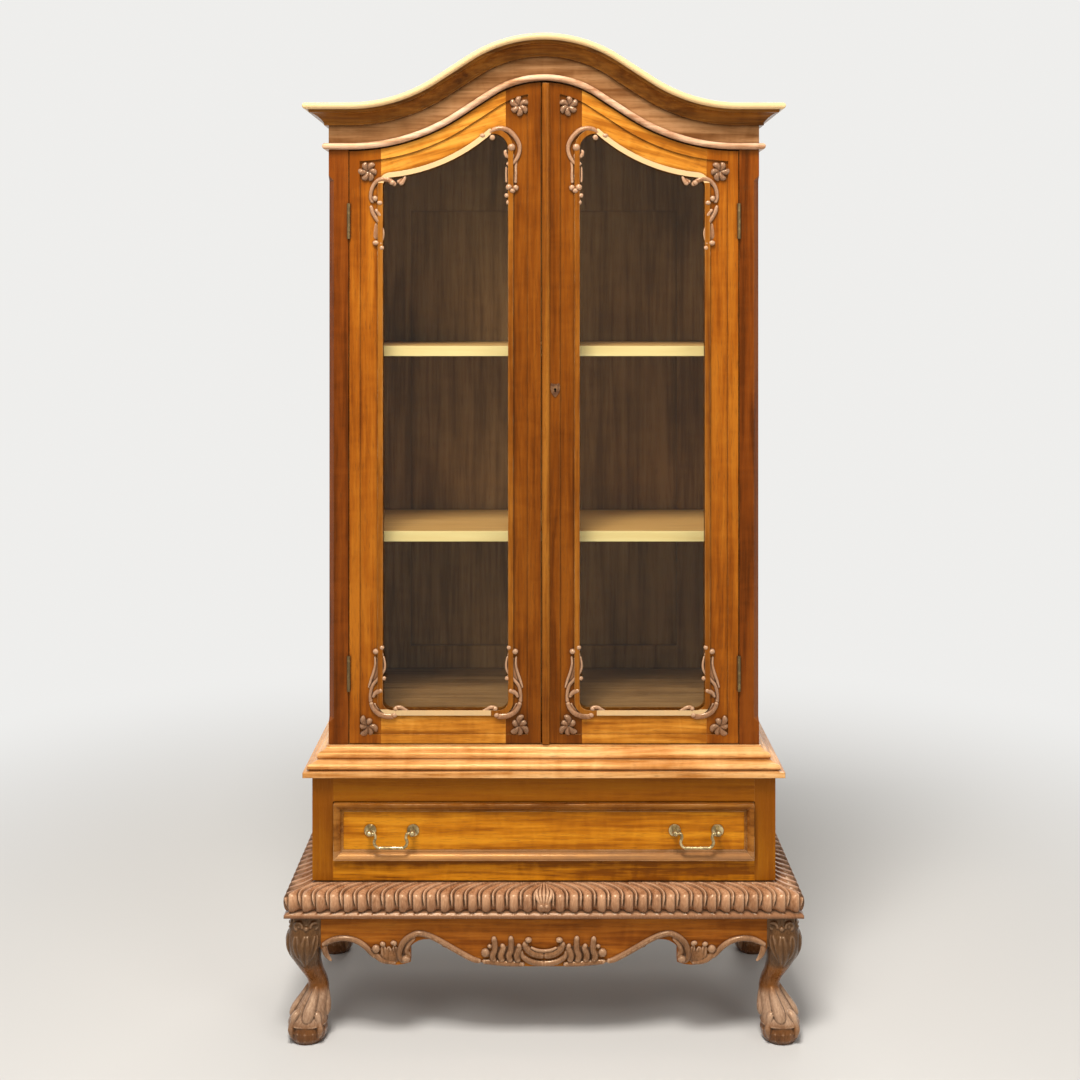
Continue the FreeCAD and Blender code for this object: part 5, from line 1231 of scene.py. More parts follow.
class Assembly:
    """Pieces that are dressed here and kept for the report."""

    def __post_init__(self) -> None:
        """Start with no pieces."""
        self.pieces: list[bpy.types.Object] = []

    def dress(self, thing: bpy.types.Object, finish: bpy.types.Material) -> None:
        """Give a piece its only finish.

        Args:
            thing: the piece.
            finish: the material.
        """
        thing.data.materials.clear()
        thing.data.materials.append(finish)
        self.pieces.append(thing)

    def dress_nodes(self, finish: bpy.types.Material, slot: str, nodes: str) -> None:
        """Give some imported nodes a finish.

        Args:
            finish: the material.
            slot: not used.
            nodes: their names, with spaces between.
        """
        for node in nodes.split():
            self.dress(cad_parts[node], finish)

    def polished(self, nodes: str, tone: WoodTone, grain: Grain, seed: float, **more: object) -> None:
        """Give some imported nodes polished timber.

        Args:
            nodes: their names, with spaces between.
            tone: its colours.
            grain: which way it runs.
            seed: which board it is cut from.
            more: further settings of the timber.
        """
        self.dress_nodes(Timber(tone, grain, seed, **more).build(), "polished_mahogany", nodes)

    def plain(self, nodes: str, grain: Grain, seed: float) -> None:
        """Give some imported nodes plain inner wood.

        Args:
            nodes: their names, with spaces between.
            grain: which way it runs.
            seed: which board it is cut from.
        """
        self.dress_nodes(Timber(INNER, grain, seed).build(), "plain_inner_wood", nodes)

    def settle(self, thing: bpy.types.Object, finish: bpy.types.Material, body: str, *nodes: str) -> None:
        """Dress a carved piece and hang it on its body.

        Args:
            thing: the piece.
            finish: its material.
            body: what carries it.
            nodes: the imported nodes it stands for.
        """
        if nodes:
            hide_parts(*nodes)
        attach(thing, body)
        self.dress(thing, finish)


# Carved stand

@dataclass
class Gadroon(Assembly):
    """The gadrooned moulding on the front and both sides, with a small palmette in the middle."""

    half: float = 487 * MM
    front_y: float = -202.5 * MM
    back_y: float = 237.5 * MM
    low: float = 267 * MM
    height: float = 59 * MM
    outset: float = 54 * MM
    bearing: float = 60 * MM
    fillet: float = 7 * MM
    setback: float = 2.7 * MM
    pitch: float = 28.8 * MM
    first_lobe: float = 34 * MM
    lobe: float = 0.34
    lobe_depth: float = 7.5 * MM
    ridge: float = 0.095
    ridge_height: float = 6.0 * MM
    ridge_foot: tuple[float, float] = (0.86, 0.62)
    round_foot: float = 11 * MM
    lean: float = 1.5
    lean_power: float = 2.1
    nose_share: float = 0.52
    swell_loss: float = 0.62
    back_edge: float = 0.05
    columns: int = 18
    step: float = 1.45 * MM
    leaf_facet: float = 0.8 * MM
    shadowed: tuple[float, float] = (302 * MM, 276 * MM)

    def face(self) -> np.ndarray:
        """The outline of the carved face at even steps, from its top down to its foot.

        Returns:
            Outset and height of each step.
        """
        top = self.low + self.height
        nose = self.outset
        rough = smooth_path([
            (-2 * MM, top), (nose - 39 * MM, top - 1.8 * MM), (nose - 21 * MM, top - 4.8 * MM),
            (nose - 8 * MM, top - 10 * MM), (nose - 1.8 * MM, top - 17.5 * MM), (nose, top - 27 * MM),
            (nose - 1 * MM, top - 37 * MM), (nose - 4.5 * MM, top - 46 * MM),
            (nose - 10 * MM, self.low + self.fillet),
        ])
        run = run_along(rough)
        return points_at(np.linspace(0, run[-1], int(run[-1] / self.step)), run, rough)

    def relief(self, along: np.ndarray, first: float) -> np.ndarray:
        """How far the carving stands before the bottom of its grooves.

        Args:
            along: distance from the middle of the pattern, for each place and each step of the face.
            first: distance of the first lobe from that middle.

        Returns:
            The height of the carving.
        """
        share = np.linspace(0, 1, along.shape[1])[None, :]
        above_foot = (1 - share) * along.shape[1] * self.step
        rise = np.clip(1 - share / self.nose_share, 0, 1)
        phase = (np.abs(along) - first) / self.pitch + self.lean * rise**self.lean_power
        phase = phase - np.round(phase)
        narrowing = np.sqrt(np.clip(1 - np.clip(1 - above_foot / self.round_foot, 0, 1) ** 2, 0, 1))
        half = np.maximum(self.lobe * narrowing, 1e-3)
        swell = np.sqrt(np.clip(1 - (phase / half) ** 2, 0, 1)) * self.lobe_depth
        swell *= narrowing * (1 - self.swell_loss * np.sqrt(rise))
        off_ridge = (0.5 - np.abs(phase)) / self.ridge
        ridge = np.sqrt(np.clip(1 - off_ridge**2, 0, 1)) * self.ridge_height
        low, high = self.ridge_foot
        ridge *= np.clip((low - share) / (low - high), 0, 1)
        edge = np.clip(share / self.back_edge, 0, 1)
        return np.maximum(swell, ridge) * edge + self.lobe_depth * 0.5 * (1 - edge)

    def section(self, along: np.ndarray, first: float) -> np.ndarray:
        """The whole section at many places, with its face moved in by the grooves.

        Args:
            along: distance from the middle of the pattern, for each place and each step of the face.
            first: distance of the first lobe from that middle.

        Returns:
            Outset and height for each place and each step of the section.
        """
        face = self.face()
        depth = self.relief(along, first) - self.lobe_depth
        moved = face[None] + square_to(face)[None] * depth[:, :, None]
        fillet = self.outset - self.setback
        low = self.low + self.fillet
        top = self.low + self.height
        before = np.array([(-self.bearing, self.low), (-self.bearing, top), (-8 * MM, top)])
        after = np.array([
            (fillet - 1 * MM, low), (fillet, low - 1 * MM), (fillet, self.low), (-self.bearing, self.low),
        ])
        rows = len(along)
        return np.concatenate([np.tile(before, (rows, 1, 1)), moved, np.tile(after, (rows, 1, 1))], axis=1)

    def moulding(self) -> bpy.types.Object:
        """Make the moulding, mitred at the front corners.

        Returns:
            The piece.
        """
        bare = self.face()[None, :, 0]
        reach = self.half + self.outset
        share = np.linspace(-1, 1, int(2 * reach / self.pitch * self.columns) + 1)[:, None]
        moved = self.section(share * (self.half + bare), self.first_lobe)
        outset, up = moved[:, :, 0], moved[:, :, 1]
        front = np.stack([share * (self.half + outset), self.front_y - outset, up], axis=2)
        length = self.back_y - self.front_y + self.outset
        share = np.linspace(0, 1, int(length / self.pitch * self.columns) + 1)[:, None]
        middle = self.back_y - length / 2
        moved = self.section(self.back_y + (self.front_y - bare - self.back_y) * share - middle, 0.0)
        outset, up = moved[:, :, 0], moved[:, :, 1]
        side_y = self.back_y + (self.front_y - outset - self.back_y) * share
        sides = (np.stack([side * (self.half + outset), side_y, up], axis=2) for side in (LEFT, RIGHT))
        runs = [front, *sides]
        faces: list[tuple[int, ...]] = []
        start = 0
        for run, turned in zip(runs, (False, True, False)):
            self.weave(run.shape, start, faces, turned)
            start += run.shape[0] * run.shape[1]
        mesh = bpy.data.meshes.new("gadroon_lobes")
        mesh.from_pydata(np.vstack([run.reshape(-1, 3) for run in runs]).tolist(), [], faces)
        mesh.update()
        return piece_of("gadroon_lobes", mesh)

    @staticmethod
    def weave(shape: tuple[int, ...], start: int, faces: list[tuple[int, ...]], turned: bool) -> None:
        """Faces of a run, with both its ends closed.

        Args:
            shape: places by steps by axes.
            start: number of the run's first vertex.
            faces: where the faces are added.
            turned: whether the faces are wound the other way.
        """
        rows, steps, _ = shape
        ring = steps - 1
        found = []
        for row in range(rows - 1):
            low = start + row * steps
            for step in range(ring):
                after = (step + 1) % ring
                found.append((low + step, low + after, low + steps + after, low + steps + step))
        found.append(tuple(start + step for step in reversed(range(ring))))
        found.append(tuple(start + (rows - 1) * steps + step for step in range(ring)))
        faces.extend(tuple(reversed(face)) if turned else face for face in found)

    def palmette(self) -> bpy.types.Object:
        """The small spray of leaves in the middle, where the lobes part.

        Returns:
            The piece.
        """
        face = self.face()
        places = np.linspace(0, 1, len(face))
        sculpt = Sculpt()

        def on_face(across: float, share: float, proud: float) -> Point:
            """A point before the carved face."""
            outset, up = (float(np.interp(share, places, face[:, axis])) for axis in (0, 1))
            return (across * MM, self.front_y - outset - proud * MM, up + proud * 0.5 * MM)

        for fan, widest, top in ((0, 0, 0.12), (-1, 8, 0.16), (1, 8, 0.16), (-1, 15, 0.30), (1, 15, 0.30)):
            knots = [
                on_face(fan * widest * 0.3, 0.74, -4.0), on_face(fan * widest * 0.8, 0.62, -1.5),
                on_face(fan * widest, 0.46, -2.5), on_face(fan * widest * 0.5, top, -4.0),
            ]
            sculpt.rib(smooth_path(knots), np.array((2.6, 3.8, 3.8, 2.2)) * MM, flat=0.9)
        for hand in (LEFT, RIGHT):
            sculpt.ball(on_face(hand * 5.5, 0.76, -2.0), 4.4 * MM)
        return sculpt.melt("gadroon_palmette", self.leaf_facet)

    def build(self) -> None:
        """Make and dress the moulding and its palmette."""
        finish = CarvedTimber(CARVED, 2.0, shadowed=self.shadowed).build()
        self.settle(self.moulding(), finish, "cabinet", "gadroon_moulding")
        self.settle(self.palmette(), finish, "cabinet")


def lower_edge(node: str, places: np.ndarray, way: Placing, behind: float = 5 * MM) -> np.ndarray:
    """Height of a board's lower edge at some places across it.

    Args:
        node: the board's node.
        places: distances across the face.
        way: where points of the face lie in the row frame.
        behind: how far behind the face the edge is felt.

    Returns:
        Distance across and height of each place that the board covers.
    """
    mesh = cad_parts[node].data
    corners = [point.co for point in mesh.vertices]
    board = BVHTree.FromPolygons(corners, [face.vertices for face in mesh.polygons])
    found = []
    for across in places:
        start = way(np.array([[across, behind, 0.0]]))[0]
        hit = board.ray_cast(Vector(start), Vector((0, 0, 1)))[0]
        if hit:
            found.append((across, hit.z))
    return np.array(found)


@dataclass
class ApronCarving(Assembly):
    """The lip along the aprons' lower edges and the leaves and scrolls carved on them."""

    lip: float = 6.0
    lip_overhang: float = 1.5
    lip_proud: float = 1.2
    probe: float = 1.5
    facet: float = 1.15 * MM
    side_face: float = 522 * MM
    side_reach: float = 170
    motif: float = 60
    # Strength of the pale ridges: partly wear, partly painted highlight.
    ridge_wear_and_highlight: float = 0.42

    def follow(
        self,
        relief: Relief,
        edge: np.ndarray,
        start: float,
        end: float,
        radii: Sequence[float],
    ) -> None:
        """A lip along a stretch of the lower edge.

        Args:
            relief: where it is added.
            edge: distance across and height along the edge.
            start: where the stretch starts, in millimetres.
            end: where it ends.
            radii: radii of the lip along it.
        """
        chosen = edge[(edge[:, 0] >= start * MM) & (edge[:, 0] <= end * MM)]
        for _ in range(4):
            chosen[1:-1] = (chosen[:-2] + 2 * chosen[1:-1] + chosen[2:]) / 4
        raised = chosen + square_to(chosen) * (self.lip - self.lip_overhang) * MM
        proud = np.full(len(raised), -self.lip_proud * MM)
        path = np.stack([raised[:, 0], proud, raised[:, 1]], axis=1)
        relief.rib(path, np.array(radii) * MM, flat=0.95)

    def front(self) -> bpy.types.Object:
        """Carve the front apron.

        Returns:
            The piece.
        """
        face_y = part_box("front_apron")[0][1]
        relief = Relief()
        for hand in (LEFT, RIGHT):
            way = facing_front(face_y, hand)
            edge = lower_edge("front_apron", np.arange(40, 462, self.probe) * MM, way)
            half = Relief()
            self.follow(half, edge, 350, 459, (5.4, self.lip, self.lip, self.lip, 4.6))
            self.follow(half, edge, 40, 130, (5.0, self.lip, self.lip, 5.4))
            self.ear(half)
            self.leaves(half)
            self.reeds(half)
            self.cup(half)
            relief.take(half, way)
        return relief.melt("front_apron_carving", self.facet)

    @staticmethod
    def ear(relief: Relief) -> None:
        """The small leaf that curls off the lip beside the leg."""
        knots = [(453, 209), (456, 200), (454, 190), (449, 181), (441, 172)]
        relief.line(knots, (4.6, 6.4, 6.2, 4.6, 2.2), 0.0)

    @staticmethod
    def leaves(relief: Relief) -> None:
        """The second arch's lip, the scroll that ends it and the leaves beside the first arch.

        Args:
            relief: where they are added.
        """
        relief.line([
            (130, 172), (146, 176), (166, 186), (190, 199.5), (214, 213.5), (234, 223.5), (250, 229),
            (264, 230), (281, 222), (293, 210), (299, 196), (300, 184), (294, 175.5), (286, 174),
        ], (4.6, 6.0, 6.2, 6.2, 6.2, 6.2, 6.2, 6.2, 6.4, 6.6, 6.6, 6.4, 6.4, 5.6), 0.8)
        knots = [(268, 222), (280, 209), (285, 197), (283, 186), (282, 178)]
        relief.line(knots, (3.6, 5.0, 5.6, 5.8, 6.4), 0.4)
        relief.bud(286.5, 178.5, 9.2, 3.2, 0.85)
        relief.line([(283, 177), (289, 190), (283, 206), (274, 216)], (7.0, 9.0, 7.0, 4.0), -0.5, 0.3)
        relief.bud(349, 198.5, 8.6, 2.0)
        relief.line([(330, 205), (335, 209), (341, 209)], (4.2, 5.0, 3.8), 2.6)
        relief.line([(319, 211), (312, 211), (306, 207)], (3.6, 5.0, 4.6), 2.6)
        knots = [(353, 192), (345, 182), (334, 174.5), (318, 171), (306, 171)]
        relief.line(knots, (6.0, 7.0, 6.6, 5.6, 4.4), 0.0)
        relief.leaf([(327, 172), (331, 188), (335, 207)], 15, 0.6, 2.0)
        relief.leaf([(317, 171), (320, 188), (323, 204)], 13, 1.0, 1.5)
        relief.leaf([(307, 171), (308, 188), (311, 208)], 13, 0.6, 2.0)
        relief.line([(338, 186), (318, 184), (300, 188)], (11.0, 14.0, 11.0), 0.5, 0.35)

    @staticmethod
    def reeds(relief: Relief) -> None:
        """The four upright leaves between the lip and the cup, on a low ground.

        Args:
            relief: where they are added.
        """
        relief.bud(121.5, 190.5, 9.2, 1.5)
        relief.bud(113, 204, 4.6, 2.0)
        relief.line([(112, 187), (88, 188), (62, 190), (46, 188)], (14.0, 17.0, 17.0, 13.0), -2.0, 0.22)
        for foot, head, top in ((104, 104.5, 224), (87, 86.5, 209), (70, 69.5, 225), (54, 52.5, 209)):
            low = [(foot - 2, 170), (foot + 2.5, 184), (foot - 2, 198)]
            relief.line([*low, (head - 1, top - 6), (head + 2, top)], (6.4, 7.2, 6.6, 5.6, 4.8), 1.4)

    @staticmethod
    def cup(relief: Relief) -> None:
        """Half of the open cup in the middle, and the drop below it.

        Args:
            relief: where they are added.
        """
        relief.bud(32, 217.5, 7.2, 3.0, 0.8)
        bowl = [(38, 214), (38, 203), (30, 194), (16, 188), (-3, 186)]
        relief.line(bowl, (5.4, 7.0, 8.4, 9.2, 9.4), 0.6, 0.8)
        relief.line([(27, 203), (14, 197), (-3, 195)], (2.6, 3.4, 3.6), 5.0)
        under = [(48, 196), (44, 183), (31, 174), (16, 169.5), (-3, 168)]
        relief.line(under, (3.6, 5.4, 6.2, 6.6, 6.6), 1.4)
        relief.line([(3, 171), (0, 166), (0, 163.5)], (5.0, 4.6, 3.4), 1.0)

    def side(self, side: int) -> bpy.types.Object:
        """Carve one side apron.

        Args:
            side: which side.

        Returns:
            The piece.
        """
        reach, motif = self.side_reach, self.motif
        way = facing_side(self.side_face, side)
        places = np.arange(-reach, reach + 0.1, self.probe) * MM
        edge = lower_edge("side_aprons", places, way)
        relief = Relief()
        self.follow(relief, edge, -reach, -motif, (5.0, self.lip, self.lip, 4.4))
        self.follow(relief, edge, motif, reach, (4.4, self.lip, self.lip, 5.0))
        low = float(edge[:, 1].min() / MM)
        for fan in (-3, -2, -1, 0, 1, 2, 3):
            foot = fan * 6.0
            head = fan * motif * 0.30
            top = low + 54 - abs(fan) * 7
            relief.leaf([(foot, low + 7), (foot * 1.3, low + 24), (head, top)], 14, 0.5, 3.0)
            relief.bud(head, top - 1, 4.6, 3.2)
        for hand in (LEFT, RIGHT):
            end = hand * motif
            start = [(hand * 2, low + 7), (end * 0.45, low + 8)]
            relief.line([*start, (end * 0.85, low + 14), (end * 1.04, low + 25)], (5.6, 6.0, 5.8, 5.0), 0.8)
            relief.bud(end, low + 27, 7.4)
        return relief.melt(f"{SIDE_NAMES[side]}_apron_carving", self.facet, way)

    def build(self) -> None:
        """Carve and dress the three aprons that show."""
        finish = CarvedTimber(APRON_CARVED, 5.0, ridge_wear_and_highlight=self.ridge_wear_and_highlight).build()
        for carving in (self.front(), self.side(LEFT), self.side(RIGHT)):
            self.settle(carving, finish, "cabinet")


@dataclass
class CabrioleLegs(Assembly):
    """The cabriole legs with carved knees and claw-and-ball feet, shaped from their outer corners."""

    stand_half: float = 522 * MM
    front_y: float = -237.5 * MM
    back_y: float = 237.5 * MM
    height: float = 267 * MM
    block: float = 58 * MM
    block_low: float = 195 * MM
    ball_radius: float = 42.5 * MM
    ball_offset: float = 27 * MM
    ball_height: float = 25 * MM
    squareness: float = 2.6
    facet: float = 1.4 * MM
    stations: tuple[tuple[float, float, float], ...] = (
        (267, 29, 27), (250, 26, 31), (232, 23, 34.3), (213, 22, 35), (194, 23, 34), (178, 24.5, 31),
        (165, 27, 27.5), (150, 32, 24.5), (139, 36, 22.5), (124, 42.5, 20.8), (110, 46, 20.6),
        (98, 46, 22.5), (86, 42, 26), (74, 37.5, 29.5), (62, 33.5, 33), (52, 30, 36.5), (44, 28, 39.5),
        (38, 27.5, 41), (36, 27, 36),
    )
    talon: tuple[tuple[float, float], ...] = (
        (78, 0.98), (60, 1.10), (44, 1.20), (26, 1.13), (8, 1.14), (-10, 1.06), (-28, 0.98),
    )
    talon_inset: float = 6 * MM
    talon_root: tuple[float, float, float] = (44.5, 104, 19)
    tendon: tuple[tuple[float, float, float], ...] = (
        (45.5, 108, 17), (40, 84, 25), (33, 62, 32.5), (28, 45, 37.5),
    )

    def shaft(self, sculpt: Sculpt) -> None:
        """The curved shaft, a rounded square in section with its corner to the outside.

        Args:
            sculpt: where it is added.
        """
        turn = np.linspace(0, FULL_TURN, 48, endpoint=False)
        power = self.squareness
        square = (np.abs(np.cos(turn)) ** power + np.abs(np.sin(turn)) ** power) ** (-1 / power)
        rings = []
        for height, offset, radius in smooth_path(self.stations, 4) * MM:
            reach = radius * (1 + (square - 1) * 0.9)
            rings.append(np.stack([
                offset + np.cos(turn) * reach, offset + np.sin(turn) * reach, np.full_like(turn, height),
            ], axis=1))
        sculpt.loft(np.array(rings[::-1]))

    def foot(self, sculpt: Sculpt) -> None:
        """The ball, the four talons that grip it from its corners and the tendons above them.

        Args:
            sculpt: where they are added.
        """
        middle = np.array([self.ball_offset, self.ball_offset, self.ball_height])
        sculpt.ball(tuple(middle), self.ball_radius, (0.99, 0.99, 1.0))
        for corner in range(4):
            out = heading((corner + 0.5) * FULL_TURN / 4)
            path = [self.beside_shaft(out, *self.talon_root)]
            for rise, reach in self.talon:
                tilt = math.radians(rise)
                way = out * math.cos(tilt) + UPWARD * math.sin(tilt)
                path.append(middle + way * (self.ball_radius * reach - self.talon_inset))
            radii = np.array((3.0, 5.5, 8.0, 8.4, 6.6, 7.4, 5.6, 3.0)) * MM
            sculpt.rib(smooth_path(path, 6), radii, out)
        for quarter in range(4):
            out = heading(quarter * FULL_TURN / 4)
            path = [self.beside_shaft(out, *knot) for knot in self.tendon]
            sculpt.rib(smooth_path(path, 6), np.array((4.5, 9.5, 12.5, 8.0)) * MM, out, flat=0.75)

    @staticmethod
    def beside_shaft(out: np.ndarray, inset: float, height: float, reach: float) -> np.ndarray:
        """A point that lies out from the shaft's middle.

        Args:
            out: the way out.
            inset: distance of the shaft's middle from both outer faces, in millimetres.
            height: height above the floor.
            reach: how far out the point lies.

        Returns:
            The point in metres.
        """
        return np.array((inset, inset, height)) * MM + out * reach * MM

    def knee(self, sculpt: Sculpt) -> None:
        """Leaves, berries and scrolls carved on the two outer faces of the knee.

        Args:
            sculpt: where they are added.
        """
        for face, out in enumerate((FORWARD, np.array([-1.0, 0.0, 0.0]))):
            for knots, width in (
                (((27, 160), (26, 184), (27, 208), (29, 228)), 24.0),
                (((22, 170), (13, 192), (9, 212), (8, 228)), 17.0),
                (((32, 172), (41, 194), (46, 212), (49, 228)), 17.0),
            ):
                self.leaf(sculpt, face, out, knots, width)
            for centre, hand in ((12, 1), (46, -1)):
                curl = []
                for turn in np.linspace(-0.4, 4.6, 9):
                    radius = 8.5 * (1 - turn / 11)
                    across = centre + hand * radius * math.cos(turn)
                    curl.append(self.on_knee(face, across, 245 + radius * math.sin(turn), 1.0))
                sculpt.rib(smooth_path(curl, 5), np.array((2.8, 3.8, 4.0, 3.6, 3.0)) * MM, out)
            for across, height, size in ((29, 242, 5.4), (14, 246, 4.0)):
                sculpt.ball(tuple(self.on_knee(face, across, height, 0.5)), size * MM)

    def leaf(
        self,
        sculpt: Sculpt,
        face: int,
        out: np.ndarray,
        knots: Sequence[Knot],
        width: float,
    ) -> None:
        """A two-lobed leaf on one face of the knee.

        Args:
            sculpt: where it is added.
            face: which face.
            out: the way that face is turned.
            knots: distance from the corner and height along its vein.
            width: its width in millimetres.
        """
        vein = smooth_path(knots)
        shape = spread((0.25, 0.75, 1.0, 0.85, 0.40), len(vein)) * width
        for hand in (LEFT, RIGHT):
            path = np.array([
                self.on_knee(face, across + hand * reach * 0.25, height, 0.6)
                for (across, height), reach in zip(vein, shape)
            ])
            sculpt.rib(path, shape * 0.27 * MM, out, flat=0.9)

    def on_knee(self, face: int, across: float, height: float, proud: float) -> np.ndarray:
        """A point before one face of the knee.

        Args:
            face: 0 for the face to the front or back, 1 for the one to the side.
            across: distance from the outer corner along the face, in millimetres.
            height: height above the floor.
            proud: how far before the face.

        Returns:
            The point in metres.
        """
        heights, offsets, radii = np.array(self.stations)[::-1].T
        offset = np.interp(height, heights, offsets)
        radius = np.interp(height, heights, radii)
        share = min(1.0, abs(across - offset) / radius)
        depth = offset - radius * (1 - share**self.squareness) ** (1 / self.squareness) - proud
        return np.array((across, depth, height) if face == 0 else (depth, across, height)) * MM

    def placing(self, side: int, front: bool) -> Placing:
        """How points measured in from a leg's outer corner go to one corner of the stand.

        Args:
            side: on which side that corner is.
            front: whether it is in front.

        Returns:
            The placing.
        """
        def placed(points: np.ndarray) -> np.ndarray:
            """The points in the row frame."""
            y = self.front_y + points[:, 1] if front else self.back_y - points[:, 1]
            return np.stack([side * (self.stand_half - points[:, 0]), y, points[:, 2]], axis=1)

        return placed

    def leg(self, side: int, front: bool) -> bpy.types.Object:
        """Make one leg.

        Args:
            side: on which side it is.
            front: whether it is in front.

        Returns:
            The piece.
        """
        sculpt = Sculpt()
        self.shaft(sculpt)
        self.foot(sculpt)
        self.knee(sculpt)
        sculpt.box((0, 0, self.block_low + 6 * MM), (self.block, self.block, self.height))
        name = f"{SIDE_NAMES[side]}_{'front' if front else 'rear'}_cabriole"
        leg = sculpt.melt(name, self.facet, self.placing(side, front))
        for point in leg.data.vertices:
            point.co.z = min(max(point.co.z, 0.0), self.height)
        return leg

    def build(self) -> None:
        """Make and dress the four legs."""
        finish = LegTimber(KNEE, 3.0).build()
        for side in (LEFT, RIGHT):
            self.settle(self.leg(side, True), finish, "cabinet", f"front_{SIDE_NAMES[side]}_leg")
            self.settle(self.leg(side, False), finish, "cabinet", *(("rear_legs",) if side == LEFT else ()))


# Carved doors

